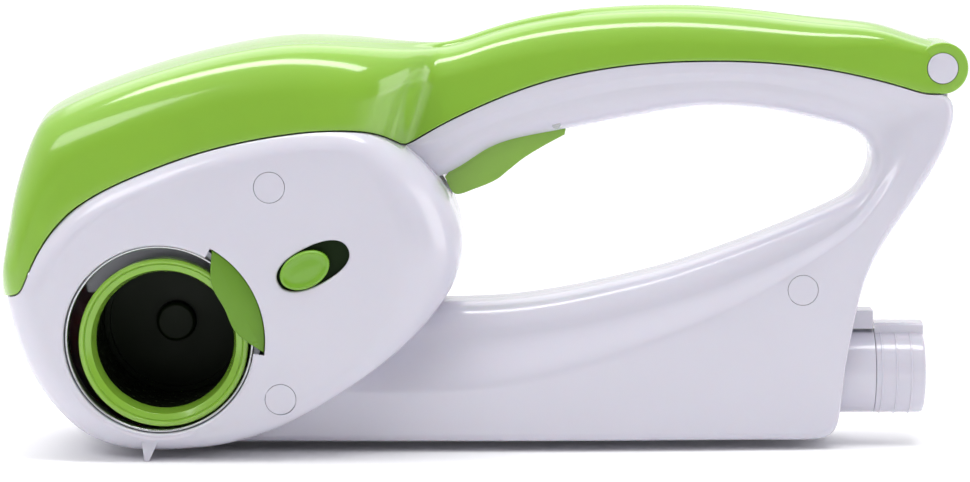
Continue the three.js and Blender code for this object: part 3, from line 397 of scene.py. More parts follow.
def material(name, colour, roughness, metallic=0.0, coat=0.0, subsurface=0.0,
             tint=0.03, polish=0.05, grain=0.0, grain_scale=900.0, stretch=(1, 1, 1), specular=0.5):
    """A finish with drifting colour, uneven polish and a fine grain, all from noise."""
    made = bpy.data.materials.new(name)
    made.use_nodes = True
    tree = made.node_tree
    shader = tree.nodes["Principled BSDF"]
    shader.inputs["Metallic"].default_value = metallic
    shader.inputs["IOR"].default_value = 1.5
    shader.inputs["Specular IOR Level"].default_value = specular
    shader.inputs["Coat Weight"].default_value = coat
    shader.inputs["Coat Roughness"].default_value = 0.04
    shader.inputs["Subsurface Weight"].default_value = subsurface
    shader.inputs["Subsurface Scale"].default_value = 0.002
    place = node(tree, "ShaderNodeTexCoord")
    spread = node(tree, "ShaderNodeMapping")
    spread.inputs["Scale"].default_value = stretch
    tree.links.new(place.outputs["Object"], spread.inputs["Vector"])

    def noise(scale, detail):
        made_noise = node(tree, "ShaderNodeTexNoise")
        made_noise.inputs["Scale"].default_value = scale
        made_noise.inputs["Detail"].default_value = detail
        tree.links.new(spread.outputs["Vector"], made_noise.inputs["Vector"])
        return made_noise

    drift = noise(TINT_SCALE, 3)
    ramp = node(tree, "ShaderNodeValToRGB")
    low = [max(c * (1 - tint), 0) for c in colour]
    high = [min(c * (1 + tint), 1) for c in colour]
    ramp.color_ramp.elements[0].position = 0.35
    ramp.color_ramp.elements[1].position = 0.65
    ramp.color_ramp.elements[0].color = (*low, 1)
    ramp.color_ramp.elements[1].color = (*high, 1)
    tree.links.new(drift.outputs["Fac"], ramp.inputs["Fac"])
    tree.links.new(ramp.outputs["Color"], shader.inputs["Base Color"])

    wear = noise(POLISH_SCALE, 4)
    span = node(tree, "ShaderNodeMapRange")
    span.inputs["From Min"].default_value = 0.3
    span.inputs["From Max"].default_value = 0.7
    span.inputs["To Min"].default_value = max(roughness - polish, 0.02)
    span.inputs["To Max"].default_value = roughness + polish
    tree.links.new(wear.outputs["Fac"], span.inputs["Value"])
    tree.links.new(span.outputs["Result"], shader.inputs["Roughness"])

    if grain:
        fine = noise(grain_scale, 2)
        bump = node(tree, "ShaderNodeBump")
        bump.inputs["Strength"].default_value = grain
        bump.inputs["Distance"].default_value = 0.0002
        tree.links.new(fine.outputs["Fac"], bump.inputs["Height"])
        tree.links.new(bump.outputs["Normal"], shader.inputs["Normal"])
    return made


def dress(target, finish):
    """Gives a piece one material."""
    target.data.materials.clear()
    target.data.materials.append(finish)
    return target


GREEN = material("green plastic", (0.225, 0.435, 0.04), 0.16,
                 coat=0.35, subsurface=0.06, polish=0.03, grain=0.03)
LEAF_GREEN = material("satin green plastic", (0.13, 0.285, 0.018), 0.3,
                      subsurface=0.04, grain=0.05, specular=0.35)
BUTTON_GREEN = material("thumb button green", (0.17, 0.375, 0.025), 0.22,
                        coat=0.1, subsurface=0.04, grain=0.03)
# Dark green plastic pushed almost to black: partly the plastic's own colour, partly painted shade deep
# inside the drum.
DARK_GREEN_AND_PAINTED_SHADE = material("dark green plastic with painted shade", (0.004, 0.010, 0.0006), 0.5, grain=0.05, specular=0.25)
# The latch slider's flat behind the thumb button: a real green plate, coloured near black as painted shade
# of the deep slot.
SLOT_PAINTED_SHADE_GREEN = material("slot floor green with painted shade", (0.006, 0.018, 0.002), 0.5, grain=0.05, specular=0.12)
# The grating drum's steel, coloured dark green-black: painted shade inside the drum rather than the
# sheet's own colour.
DRUM_STEEL_PAINTED_SHADE = material("grating steel with painted shade", (0.03, 0.04, 0.02), 0.45,
                      metallic=0.7, polish=0.08, grain=0.08)
WHITE = material("white plastic", (0.60, 0.585, 0.67), 0.2,
                 coat=0.3, subsurface=0.1, tint=0.012, polish=0.03, grain=0.03)
INNER_WHITE = material("white plastic inside", (0.62, 0.61, 0.69), 0.42, tint=0.02, grain=0.08)
STEEL = material("stainless steel", (0.56, 0.57, 0.59), 0.28,
                 metallic=1.0, polish=0.08, grain=0.08, grain_scale=500.0, stretch=(1, 6, 1))
CELL = material("cell sleeve", (0.05, 0.12, 0.3), 0.35, coat=0.3)
ACETAL = material("acetal", (0.78, 0.75, 0.66), 0.4, subsurface=0.1, grain=0.05)
BRASS = material("brass", (0.72, 0.52, 0.2), 0.28, metallic=1.0, polish=0.08, grain=0.05)
GREY_PLASTIC = material("grey plastic", (0.2, 0.205, 0.215), 0.5, grain=0.12)
BLACK_PLASTIC = material("black plastic", (0.015, 0.015, 0.018), 0.45, grain=0.12)
WIRE_RED = material("red wire", (0.5, 0.02, 0.015), 0.45, grain=0.05)
WIRE_BLACK = material("black wire", (0.02, 0.02, 0.02), 0.5, grain=0.05)


# ------------------------------------------------------------------ housing
def head_solid(name, inset, crown=0.0, steps=8, rolls=12, rings=8):
    """The head as a thick pebble; crown domes its two faces."""
    rows = spline(HEAD_EDGE, steps, closed=True)
    edge, radii = rows[:, :2], np.maximum(rows[:, 2] - inset, 1.0)
    out = normals(edge, -1, closed=True)
    half = HEAD_HALF - inset
    rim = edge - out * (inset + radii)[:, None]
    centre = rim.mean(axis=0)
    reach = np.linalg.norm(rim - centre, axis=1)
    near = []
    for ring in range(1, rings):
        part = ring / rings
        flat = centre + (rim - centre) * part
        near.append([(x, -(half - crown * part ** 2), z) for x, z in flat])
    for roll in range(rolls + 1):
        angle = roll / rolls * math.pi / 2
        back = inset + radii * (1 - math.sin(angle))
        slope = 2 * crown * radii * math.sin(angle) / reach
        drop = radii * (1 - math.cos(angle)) + crown + slope
        line = edge - out * back[:, None]
        near.append([(x, -(half - d), z) for (x, z), d in zip(line, drop)])
    far = [[(x, -y, z) for x, y, z in section] for section in reversed(near)]
    return loft(name, near + far)


def loop_section(row, inset):
    """One cross-section of the loop, shrunk by inset, with its corners rounded."""
    ox, oz, ix, iz, side, inner, band_from, band_to = row
    outer, inward = np.array((ox, oz)), np.array((ix, iz))
    full = np.linalg.norm(inward - outer)
    unit = (inward - outer) / full
    corner = max(3.2 - inset, 0.5)
    edge = max(6.0 - inset, 2.0)
    half, half_inner = side - inset, inner - inset
    band_a, band_b = band_from * full, band_to * full
    profile = [(inset + corner * (1 - math.cos(a)), half - corner * (1 - math.sin(a)))
               for a in np.linspace(0, math.pi / 2, 6)]
    for part in (0.35, 0.7, 0.9, 1.0):
        profile.append((inset + corner + (band_a - inset - corner) * part, half))
    for part in np.linspace(0, 1, 9)[1:]:
        eased = part * part * (3 - 2 * part)
        lean = 0.35 * part + 0.65 * eased
        profile.append((band_a + (band_b - band_a) * part, half - (half - half_inner) * lean))
    for a in np.linspace(0, math.pi / 2, 10)[1:]:
        u = band_b + (full - inset - band_b) * math.sin(a)
        profile.append((u, edge + (half_inner - edge) * math.cos(a)))
    near = [(ox + unit[0] * u, -y, oz + unit[1] * u) for u, y in profile]
    far = [(x, -y, z) for x, y, z in reversed(near)]
    return near + far


def loop_solid(name, inset, steps=6):
    """The loop of lower body, post and handle as one solid, inset from its skin."""
    return loft(name, [loop_section(row, inset) for row in spline(LOOP, steps)])


def seam_line(drop):
    """The lever's rim line, dropped into the housing."""
    rim = spline([row[:2] for row in LEVER], 6)
    return rim + normals(rim, -1) * drop


def above_seam(name, drop):
    """Everything above the lever's rim line, as a cutter."""
    line = [tuple(p) for p in seam_line(drop)]
    start, end = line[0], line[-1]
    left, right, top = start[0] - 20, end[0] + 20, 220
    outline = [(left, start[1] - 4), *line, (right, end[1]), (right, top), (left, top)]
    return fan_prism(name, outline)


def fan_prism(name, outline, half=80):
    """A prism of a bent outline, which has to be triangulated rather than fanned."""
    bm = bmesh.new()
    rows = [[bm.verts.new(to_world((x, y, z))) for x, z in outline] for y in (-half, half)]
    for row in rows:
        bm.faces.new(row)
    count = len(outline)
    for i in range(count):
        k = (i + 1) % count
        bm.faces.new((rows[0][i], rows[0][k], rows[1][k], rows[1][i]))
    bmesh.ops.recalc_face_normals(bm, faces=bm.faces)
    bmesh.ops.triangulate(bm, faces=bm.faces)
    mesh = bpy.data.meshes.new(name)
    bm.to_mesh(mesh)
    bm.free()
    made = bpy.data.objects.new(name, mesh)
    bpy.context.scene.collection.objects.link(made)
    return made


def tree_of(target):
    """A search tree of the piece, for rays cast at its skin."""
    graph = bpy.context.evaluated_depsgraph_get()
    return BVHTree.FromObject(target, graph)


def housing_outside():
    """The housing's outer solid: head and loop, cut off at the lever's seam."""
    outside = join(head_solid("outside", 0, CROWN), loop_solid("loop", 0))
    return cut(outside, above_seam("seam", SEAM_GAP))


def housing_inside():
    """The housing's hollow: the same shapes, one wall smaller."""
    inside = join(head_solid("inside", WALL), loop_solid("loop", WALL))
    return cut(inside, above_seam("seam", SEAM_GAP + WALL))


def chute_column(name, grow):
    """The square column of the food chute, leaning along the presser's path."""
    reach, width, tilt = CHUTE_HALF + grow, CHUTE_WIDTH + grow, math.radians(9)
    corners = [(-reach, 30), (reach, 30), (reach, 120), (-reach, 120)]
    outline = []
    for u, v in corners:
        outline.append((DRUM[0] + u * math.cos(tilt) - v * math.sin(tilt),
                        DRUM[1] + u * math.sin(tilt) + v * math.cos(tilt)))
    return prism(name, outline, CHUTE_Y - width, CHUTE_Y + width)


def leaf_window(name, radius, grow, front, back):
    """A sector beside the mouth, where the latch leaf lies."""
    outer = arc(MOUTH[0], MOUTH[1], radius, LEAF_FROM - grow, LEAF_TO + grow, 40)
    inner = arc(MOUTH[0], MOUTH[1], 26, LEAF_TO + grow, LEAF_FROM - grow, 20)
    outline = outer + inner
    return fan_prism_slab(name, outline, front, back)


def housing_halves():
    """Both halves of the housing, with every opening, screw post and seat."""
    outside = housing_outside()
    skin = tree_of(outside)
    caps = screw_caps(outside)
    inside = housing_inside()
    shell = cut(outside, inside)
    join(shell, rod("sleeve", MOUTH[0], MOUTH[1], MOUTH[2] + 2, -43.5, -34, 160))
    join(shell, fan_prism_slab("fin", FIN, -41, -27))
    join(shell, rod("knuckle", *PIN, KNUCKLE_RADIUS, -KNUCKLE_HALF, KNUCKLE_HALF, 64))
    join(shell, box("neck", PIN[0] - 5.5, PIN[0] + 2.4, -KNUCKLE_HALF, KNUCKLE_HALF, 117, PIN[1]))
    for name, x, z in CAPS:
        face = HEAD_HALF if x < 0 else 19.8
        join(shell, rod("post", x, z, POST_RADIUS, -face + 1.2, face - 1.2, 48))
    mouth = arc(MOUTH[0], MOUTH[1], MOUTH[2], 0, 360, 192)[:-1]
    cut(shell, flared("mouth", mouth, skin, 1.0, -33))
    cut(shell, leaf_window("window", LEAF_OUTER + 0.25, 0, -60, LEAF_FRONT))
    cut(shell, leaf_window("pocket", LEAF_OUTER + 9, 6, LEAF_FRONT - 0.75, -39.8))
    cut(shell, flared("slot", oval(*SLOT, 96, 1.15), skin, 0.7, -38))
    cut(shell, chute_column("chute", 2.3))
    cut(shell, rod("pin", *PIN, 2.7, -30, 30, 48))
    cut(shell, fan_prism_slab("trigger", TRIGGER_OPENING, -TRIGGER_HALF - 0.8, TRIGGER_HALF + 0.8))
    cut(shell, bar("bay", 0, BATTERY_Z, BATTERY_RADIUS + 0.3, 100, 180))
    cut(shell, box("catch", 118, 160, -5.3, 5.3, BATTERY_Z + BATTERY_RADIUS - 3, 44.2))
    for name, x, z in CAPS:
        face = -HEAD_HALF if x < 0 else -19.8
        recess = arc(x, z, CAP_RADIUS + 0.16, 0, 360, 64)[:-1]
        cut(shell, flared("recess", recess, skin, 0.12, face + 4, face))
        cut(shell, rod("bore", x, z, 1.9, -60, 15, 32))
    far = copy_of(shell, "far_shell")
    near = shell
    near.name = "near_shell"
    cut(near, box("half", -300, 300, -SPLIT, 300, -100, 300))
    cut(far, box("half", -300, 300, -300, SPLIT, -100, 300))
    return near, far, caps


def fan_prism_slab(name, outline, y0, y1):
    """A prism of a bent outline between two depths."""
    made = fan_prism(name, outline)
    return boolean(made, box("slab", -300, 300, y0, y1, -60, 300), "INTERSECT")


def screw_caps(outside):
    """Plugs over the screws: each is cut from the housing's own outer surface."""
    made = []
    for name, x, z in CAPS:
        face = -HEAD_HALF if x < 0 else -19.8
        cap = copy_of(outside, f"cap_{name}")
        core = rod("core", x, z, CAP_RADIUS, face - 3, face + 2.4, 96)
        boolean(cap, core, "INTERSECT")
        made.append((cap, f"screw_cap_{name}"))
    return made


# ------------------------------------------------------------------ lever
def arch(row):
    """One arch of the lever, from the near rim over the top to the far rim."""
    rx, rz, tx, tz, half, corner = row
    height = math.hypot(tx - rx, tz - rz)
    ux, uz = (tx - rx) / height, (tz - rz) / height
    crown = min(1.6, 0.1 * height)
    radius = min(corner, 0.8 * (height - crown), 0.8 * half)
    wall_top = height - crown - radius
    lean = 0.07 * wall_top
    lip = min(0.5, 0.2 * wall_top)
    side = [(half - lip, 0), (half - 0.3 * lip, 0.3 * lip), (half, lip)]
    for part in (0.25, 0.5, 0.75):
        side.append((half - lean * part, lip + (wall_top - lip) * part))
    for a in np.linspace(0, math.pi / 2, 13):
        side.append((half - lean - radius * (1 - math.cos(a)), wall_top + radius * math.sin(a)))
    flat = half - lean - radius
    for part in (0.8, 0.6, 0.4, 0.2, 0.0):
        side.append((flat * part, height - crown * part ** 2))
    near = [(rx + ux * h, -y, rz + uz * h) for y, h in side]
    far = [(x, -y, z) for x, y, z in reversed(near[:-1])]
    return near + far


def lever_inside(rows, wall):
    """Rows of the lever's hollow: rims pushed past the seam, top and sides pulled in."""
    rim_out = normals(rows[:, :2], -1)
    top_out = normals(rows[:, 2:4], 1)
    run = np.linalg.norm(np.gradient(rows[:, :2], axis=0), axis=1)
    slope = np.gradient(rows[:, 4]) / np.maximum(run, 0.2)
    thick = wall * np.minimum(np.hypot(1, slope), 2.2)
    made = rows.copy()
    made[:, :2] += rim_out
    made[:, 2:4] -= wall * top_out
    made[:, 4] -= thick
    made[:, 5] = np.maximum(made[:, 5] - wall, 1)
    return made


def lever_cover():
    """The green pressing cover: a hollow arch with its hinge barrel at the rear."""
    rows = spline(LEVER, 6)
    outside = loft("lever_cover", [arch(row) for row in rows])
    hollow = lever_inside(rows, WALL - 0.2)[8:-18]
    shell = cut(outside, loft("hollow", [arch(row) for row in hollow]))
    join(shell, turned_rod("barrel", *PIN, BARREL_RADIUS, BARREL_HALF, 0.7))
    room = KNUCKLE_HALF + 0.4
    cut(shell, rod("knuckle", *PIN, KNUCKLE_RADIUS + 0.5, -room, room, 64))
    cut(shell, box("room", 140, PIN[0] + 12, -room, room, 100, PIN[1]))
    cut(shell, box("swing", PIN[0] + 2, PIN[0] + 12, -room, room, PIN[1] - 1, PIN[1] + 4.4))
    cut(shell, rod("bore", *PIN, 2.55, -30, 30, 48))
    for y0, y1 in ((-30, -BARREL_HALF + 1.4), (BARREL_HALF - 1.4, 30)):
        cut(shell, rod("seat", *PIN, PIN_CAP_RADIUS + 0.25, y0, y1, 96))
    return shell


def turned_rod(name, x, z, radius, half, round_off):
    """A short round bar along Y with softened ends."""
    sections = []
    for a in np.linspace(0, math.pi / 2, 6):
        ring = radius - round_off * (1 - math.sin(a))
        y = -half + round_off * (1 - math.cos(a))
        sections.append([(px, y, pz) for px, pz in arc(x, z, ring, 0, 360, 96)[:-1]])
    sections += [[(px, -y, pz) for px, y, pz in section] for section in reversed(sections)]
    return loft(name, sections)


# ------------------------------------------------------------------ small pieces
def button():
    """An oval thumb button with a raised rim and a shallow dish."""
    face = -HEAD_HALF - 0.75
    levels = [(-42.3, 0.0), (face + 1.5, 0.0), (face + 0.9, 0.12), (face + 0.45, 0.45), (face + 0.12, 1.0),
              (face, 1.7), (face + 0.08, 2.4), (face + 0.3, 3.2), (face + 0.42, 4.6), (face + 0.4, 7.0),
              (face + 0.3, 9.5)]
    sections = []
    along, across, length, width = BUTTON
    for y, shrink in levels:
        outline = oval(along, across, length - shrink, width - shrink, 96)
        sections.append([(x, y, z) for x, z in outline])
    return loft("thumb_button", sections)


def leaf():
    """The latch leaf: a lens between the window's edge and a curve that bulges over the drum."""
    outer = arc(MOUTH[0], MOUTH[1], LEAF_OUTER, LEAF_FROM + 1, LEAF_TO - 1, 40)
    first, last = np.array(outer[0]), np.array(outer[-1])
    bulge = np.array(latch_place(LEAF_TIP, -0.5))

    def between(tip):
        middle = tip + (bulge - tip) * 0.45
        towards = np.array(MOUTH[:2]) - middle
        return middle + 3.2 * towards / np.linalg.norm(towards)

    inner = catmull([first, between(first), bulge, between(last), last], 12)[::-1][1:-1]
    outline = outer + [tuple(p) for p in inner]
    out = normals(outline, 1, closed=True)
    centre = np.mean(outline, axis=0)
    if np.sum((np.array(outline) - centre) * out) < 0:
        out = -out
    sections = []
    levels = [
        (LEAF_BACK, 0.3), (LEAF_BACK - 0.3, 0.0), (LEAF_FRONT + 0.5, 0.0),
        (LEAF_FRONT + 0.2, 0.1), (LEAF_FRONT + 0.05, 0.3), (LEAF_FRONT, 0.6),
    ]
    for y, shrink in levels:
        sections.append([(x - n[0] * shrink, y, z - n[1] * shrink) for (x, z), n in zip(outline, out)])
    for part in (0.8, 0.6, 0.4, 0.2):
        y = LEAF_FRONT - 0.35 * (1 - part ** 2)
        sections.append([(centre[0] + (x - centre[0]) * part, y, centre[1] + (z - centre[1]) * part)
                         for x, _, z in sections[5]])
    blade = loft("latch_leaf", sections)
    strips = [(34, 40, -4, 4), (40, 46, -13.5, -7.5), (40, 65.7, -13.5, -9.5)]
    for start, stop, low, high in strips:
        join(blade, latch_block(start, stop, low, high, LATCH_FRONT, LATCH_BACK))
    return join(blade, latch_block(64, 65.7, -13.5, -9.5, -41, -37.2))


def slot_floor():
    """The flat of the latch slider that closes the slot behind the thumb button."""
    return latch_block(38.9, 72.5, -7.7, 5.8, LATCH_FRONT, LATCH_BACK)


def latch_block(start, stop, low, high, y0, y1):
    """A block set square to the latch's slide."""
    corners = [(start, low), (stop, low), (stop, high), (start, high)]
    return prism("latch_block", [latch_place(*corner) for corner in corners], y0, y1)


def catmull(rows, steps):
    """A curve through every row."""
    rows = np.array(rows, float)
    padded = np.vstack([rows[:1], rows, rows[-1:]])
    out = []
    for i in range(len(rows) - 1):
        a, b, c, d = padded[i:i + 4]
        for t in np.linspace(0, 1, steps, endpoint=False):
            cubic = (2 * a - 5 * b + 4 * c - d) * t ** 2 + (3 * b - 3 * c + d - a) * t ** 3
            out.append(0.5 * (2 * b + (c - a) * t + cubic))
    out.append(rows[-1])
    return out


def drum_ring():
    """The drum's green front ring: a flat band, a fine groove and a funnel."""
    front = DRUM_FRONT
    profile = [
        (29.1, front + 0.8), (29.1, front + 6.5), (27.3, front + 6.5), (27.3, SHELL_FRONT + 0.3),
        (25.8, SHELL_FRONT + 0.3), (25.8, SHELL_FRONT + 5), (24.9, SHELL_FRONT + 5), (24.0, front + 8.6),
        (23.7, front + 8), (24.9, front + 1.7), (26.9, front + 0.75), (27.1, front + 1.0),
        (27.4, front + 0.3), (27.7, front), (28.4, front), (28.95, front + 0.2),
    ]
    return turned("drum_front_ring", *DRUM, rounded(profile, 0.25, 3), 160)


def drum_back():
    """The drum's far disc with its hub."""
    back = SHELL_BACK
    profile = [
        (0.01, 8.8), (6, 8.8), (7, 9.6), (7, 13), (23.8, 13), (23.8, 12), (25.8, 12), (25.8, back + 0.3),
        (27, back + 0.3), (27, back + 2), (9, back + 2), (9, 18.5), (4.3, 18.5), (4.3, 10.3), (0.01, 10.3),
    ]
    return turned("drum_back_plate", *DRUM, rounded(profile, 0.3, 3), 96)


def grating_drum():
    """The steel grating cylinder: a rolled sheet with rows of raised, pierced teeth."""
    columns, rows, ring = 30, 8, 12
    length = SHELL_BACK - SHELL_FRONT - 1
    pitch_y = length / rows
    bm = bmesh.new()

    def place(angle, y, height):
        radius = DRUM_RADIUS - 0.9 + height
        x, z = DRUM[0] + radius * math.cos(angle), DRUM[1] + radius * math.sin(angle)
        return bm.verts.new(to_world((x, y, z)))

    for row in range(rows):
        for column in range(columns):
            centre_y = SHELL_FRONT + 1 + (row + 0.5) * pitch_y
            centre_a = 2 * math.pi * (column + 0.5 * (row % 2)) / columns
            half_a = math.pi / columns
            loops = []
            for reach, height in ((1.0, 0.0), (0.52, 0.0), (0.4, 0.25), (0.3, 0.5)):
                loop = []
                for k in range(ring):
                    a = 2 * math.pi * (k + 0.5) / ring
                    c, s = math.cos(a), math.sin(a)
                    if reach == 1.0:
                        scale = 1 / max(abs(c), abs(s))
                        c, s = c * scale, s * scale
                    lift = height * (1 + 0.6 * s * (reach < 1))
                    y = centre_y + pitch_y / 2 * reach * s
                    loop.append(place(centre_a + half_a * reach * c, y, lift))
                loops.append(loop)
            for outer, inner in zip(loops, loops[1:]):
                for k in range(ring):
                    j = (k + 1) % ring
                    bm.faces.new((outer[k], outer[j], inner[j], inner[k]))
    bmesh.ops.remove_doubles(bm, verts=bm.verts, dist=2e-5)
    bmesh.ops.recalc_face_normals(bm, faces=bm.faces)
    mesh = bpy.data.meshes.new("grating_drum")
    bm.to_mesh(mesh)
    bm.free()
    made = bpy.data.objects.new("grating_drum", mesh)
    bpy.context.scene.collection.objects.link(made)
    thick = made.modifiers.new("sheet", "SOLIDIFY")
    thick.thickness = 0.0004
    thick.offset = -1
    return bake(made)


def seat_ring():
    """The thin steel ring that lines the mouth."""
    outer, inner, front = MOUTH[2] - 0.3, MOUTH[2] - 1.3, DRUM_FRONT + 0.1
    profile = [(outer, front), (outer, -35.2), (inner, -35.2), (inner, front + 1), (inner + 0.3, front)]
    return turned("steel_seat_ring", MOUTH[0], MOUTH[1], rounded(profile, 0.25, 3), 160)


def pin_cap(name, side):
    """A shallow domed plug over the lever's pin."""
    outer = BARREL_HALF + 0.35
    sections = []
    for shrink, depth in [(0.0, 1.75), (0.0, 0.3), (0.1, 0.1), (0.3, 0.0), (2.0, -0.1), (4.5, -0.14)]:
        y = side * (outer - depth)
        sections.append([(x, y, z) for x, z in arc(*PIN, PIN_CAP_RADIUS - shrink, 0, 360, 72)[:-1]])
    return loft(name, sections)


def trigger():
    """The finger trigger: a curved blade with rounded sides, hinged at its tail."""
    lower = catmull([
        (-13.8, 91.5), (-10.3, 85.6), (-3, 87.5), (4, 90.5),
        (8.5, 94), (13.8, 98.2), (20.6, 102.4), (28, 106.4),
    ], 6)
    upper = [(29, 111.6), (22, 112.4), (16, 106.4), (10, 105), (0, 103), (-9, 98)]
    outline = [tuple(p) for p in lower] + upper
    blade = fan_prism_slab("finger_trigger", outline, -TRIGGER_HALF, TRIGGER_HALF)
    cut(blade, rod("bore", *TRIGGER_PIVOT, 1.8, -20, 20, 32))
    return bevelled(blade, 1.6, 4, 50)


def battery_cap():
    """The pack's ribbed end cap with its raised key."""
    z, radius = BATTERY_Z, BATTERY_RADIUS
    stations = [(BATTERY_NECK, radius - 0.25), (BATTERY_NECK + 0.25, radius)]
    for x in (139.3, 144.4, 149.6):
        stations += [(x, radius), (x + 0.12, radius + 0.3), (x + 0.58, radius + 0.3), (x + 0.7, radius)]
    stations += [
        (BATTERY_END - 1.2, radius), (BATTERY_END - 0.35, radius - 0.3), (BATTERY_END, radius - 1.2),
        (BATTERY_END, radius - 4), (BATTERY_END - 0.5, radius - 4.6), (BATTERY_END - 0.5, 2.0),
    ]
    ring = np.linspace(0, 2 * math.pi, 128, endpoint=False)
    sections = []
    for x, r in stations:
        sections.append([(x, r * math.cos(a), z + r * math.sin(a)) for a in ring])
    cap = loft("battery_end_cap", sections)
    top = z + radius + 2.7
    key = prism_x("key", [(-5, z), (5, z), (5, top - 0.8), (4.2, top), (-4.2, top), (-5, top - 0.8)],
                  BATTERY_NECK, BATTERY_END - 0.3)
    join(cap, key)
    return cut(cap, bar("core", 0, z, radius - BATTERY_WALL, BATTERY_NECK - 1, BATTERY_END - BATTERY_WALL))


def prism_x(name, outline, x0, x1):
    """A (y, z) outline carried along X."""
    return loft(name, [[(x, y, z) for y, z in outline] for x in (x0, x1)])


def battery_case():
    """The pack's sleeve, inside the lower body."""
    z, radius = BATTERY_Z, BATTERY_RADIUS
    case = bar("battery_sleeve", 0, z, radius - 0.02, 20, BATTERY_NECK - 0.2, 128)
    return cut(case, bar("core", 0, z, radius - BATTERY_WALL, 22, BATTERY_NECK + 5, 96))


# ------------------------------------------------------------------ assembly
def stand_for(made, body, slot, finish, *nodes):
    """Dresses a piece, gives it its body and hides the CAD nodes that it stands for; its slot is not used.
    """
    dress(made, finish)
    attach(made, body)
    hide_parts(*nodes)


near, far, caps = housing_halves()
for half, cad_node in ((near, "near_housing"), (far, "far_housing")):
    stand_for(smooth(half, 34), "housing", "white_plastic", WHITE, cad_node)
for cap, cad_node in caps:
    stand_for(smooth(cap, 34), "housing", "white_plastic", WHITE, cad_node)
stand_for(smooth(lever_cover(), 34), "lever", "green_plastic", GREEN, "lever_shell")
stand_for(smooth(drum_ring()), "drum", "green_plastic", GREEN, "drum_ring")
# The far disc's near-black green is partly painted shade inside the drum.
stand_for(smooth(drum_back()), "drum", "dark_green_plastic", DARK_GREEN_AND_PAINTED_SHADE, "drum_end")
# The grating drum's dark green-black colour is painted shade.
stand_for(smooth(grating_drum()), "drum", "steel", DRUM_STEEL_PAINTED_SHADE, "drum_shell")
stand_for(smooth(seat_ring()), "housing", "steel", STEEL, "seat_ring")
stand_for(smooth(leaf()), "drum_latch", "green_plastic", LEAF_GREEN, "latch_slider")
# The slot floor's near-black green paints the shade inside the slot.
stand_for(smooth(slot_floor()), "drum_latch", "green_plastic", SLOT_PAINTED_SHADE_GREEN)
stand_for(smooth(button(), 60), "drum_latch", "green_plastic", BUTTON_GREEN, "latch_button")
for name, side in (("near", -1), ("far", 1)):
    hinge_cap = smooth(pin_cap(f"hinge_cap_{name}", side), 60)
    stand_for(hinge_cap, "lever", "white_plastic", WHITE, f"pin_cap_{name}")
stand_for(smooth(trigger(), 60), "trigger_blade", "green_plastic", GREEN, "trigger")
stand_for(smooth(battery_cap()), "battery_pack", "white_plastic", WHITE, "battery_cap")
stand_for(smooth(battery_case()), "battery_pack", "white_plastic", WHITE, "battery_case")

FINISHES = {
    "white_plastic": INNER_WHITE,
    "green_plastic": LEAF_GREEN,
    "dark_green_plastic": DARK_GREEN_AND_PAINTED_SHADE,
    "steel": STEEL,
    "cell_sleeve": CELL,
    "acetal": ACETAL,
    "brass": BRASS,
    "grey_plastic": GREY_PLASTIC,
    "black_plastic": BLACK_PLASTIC,
    "wire_cover": WIRE_RED,
}
for row in frame["record"]["subparts"]:
    cad = frame["nodes"][row["node"]]
    if cad.hide_render:
        continue
    dress(cad, FINISHES[row["material_slot"]])
    smooth(cad, 34)
    if row["node"] in ("food_chute", "presser_foot", "battery_tab"):
        bevelled(cad, 0.6, 3)
dress(frame["nodes"]["battery_tab"], WHITE)
dress(frame["nodes"]["wire_switch_to_motor"], WIRE_BLACK)


# ------------------------------------------------------------------ stage, light and camera
SKY_FRONT, SKY_BACK = 0.14, 1.05        # strength of the sky in front of and behind the part
VIEW_WIDTH = 0.34241                    # metres across the picture at the part
SENSOR = 36                             # millimetres


def floor():
    """A wide pale floor under the part."""
    mesh = bpy.data.meshes.new("floor")
    reach = 6.0
    corners = [(-reach, -reach, 0), (reach, -reach, 0), (reach, reach, 0), (-reach, reach, 0)]
    mesh.from_pydata(corners, [], [(0, 1, 2, 3)])
    made = bpy.data.objects.new("floor", mesh)
    bpy.context.scene.collection.objects.link(made)
    dress(made, material("pale floor", (0.92, 0.92, 0.93), 0.6, tint=0.004, specular=0.1))


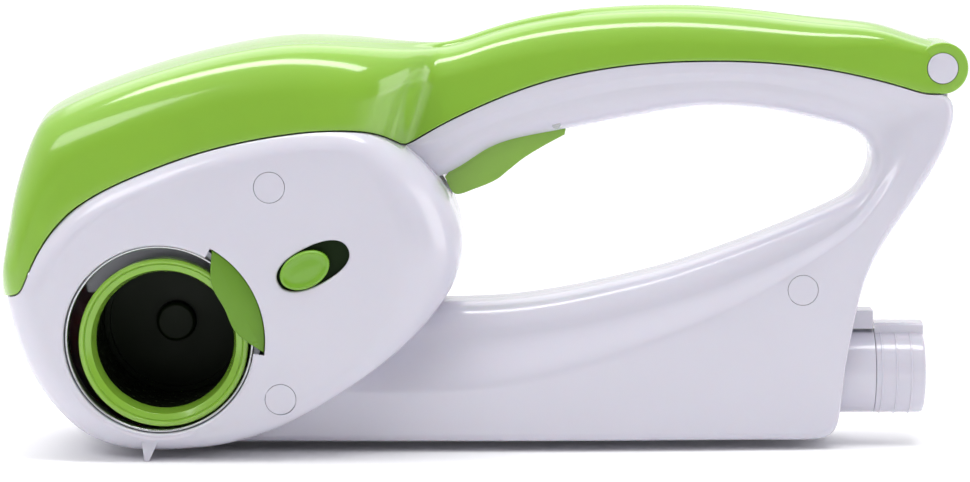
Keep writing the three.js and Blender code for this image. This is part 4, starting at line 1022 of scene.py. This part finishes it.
def softbox(name, place, target, size, power):
    """A rectangular light at a place, turned towards a target."""
    data = bpy.data.lights.new(name, "AREA")
    data.shape = "RECTANGLE"
    data.size, data.size_y = size
    data.energy = power
    made = bpy.data.objects.new(name, data)
    made.location = place
    made.rotation_euler = (Vector(target) - Vector(place)).to_track_quat("-Z", "Y").to_euler()
    bpy.context.scene.collection.objects.link(made)


def camera():
    """Square to the side, a little above, from 1.25 m."""
    distance, rise, aim = 1.25, math.radians(7), Vector((0.0002, 0, 0.0714))
    data = bpy.data.cameras.new("camera")
    data.lens = SENSOR * distance / VIEW_WIDTH
    data.sensor_width = SENSOR
    made = bpy.data.objects.new("camera", data)
    made.location = aim + Vector((0, -distance * math.cos(rise), distance * math.sin(rise)))
    made.rotation_euler = (math.pi / 2 - rise, 0, 0)
    bpy.context.scene.collection.objects.link(made)
    bpy.context.scene.camera = made


def sky():
    """An even studio: bright overhead and behind, dimmer from the front and the right."""
    world = bpy.data.worlds.new("studio")
    world.use_nodes = True
    tree = world.node_tree
    back = tree.nodes["Background"]
    back.inputs["Color"].default_value = (1.0, 1.0, 1.0, 1)
    place = node(tree, "ShaderNodeTexCoord")
    slope = node(tree, "ShaderNodeVectorMath", operation="DOT_PRODUCT")
    slope.inputs[1].default_value = Vector((-0.35, 0.75, 0.55)).normalized()
    tree.links.new(place.outputs["Generated"], slope.inputs[0])
    span = node(tree, "ShaderNodeMapRange")
    span.inputs["From Min"].default_value = -0.6
    span.inputs["From Max"].default_value = 0.6
    span.inputs["To Min"].default_value = SKY_FRONT
    span.inputs["To Max"].default_value = SKY_BACK
    tree.links.new(slope.outputs["Value"], span.inputs["Value"])
    tree.links.new(span.outputs["Result"], back.inputs["Strength"])
    bpy.context.scene.world = world


floor()
sky()
softbox("overhead strip", (-0.05, -0.12, 1.0), (0, 0, 0.1), (1.1, 0.2), 7)
softbox("near key", (-0.42, -0.42, 0.5), (-0.08, 0, 0.1), (0.3, 0.2), 0.8)
softbox("end panel", (1.3, -0.25, 0.35), (0, 0, 0.08), (0.7, 0.8), 5)
softbox("back wash", (0, 2.6, 2.6), (0, 2.4, 0), (4, 3), 45)
bpy.context.scene.view_settings.view_transform = "Standard"
camera()
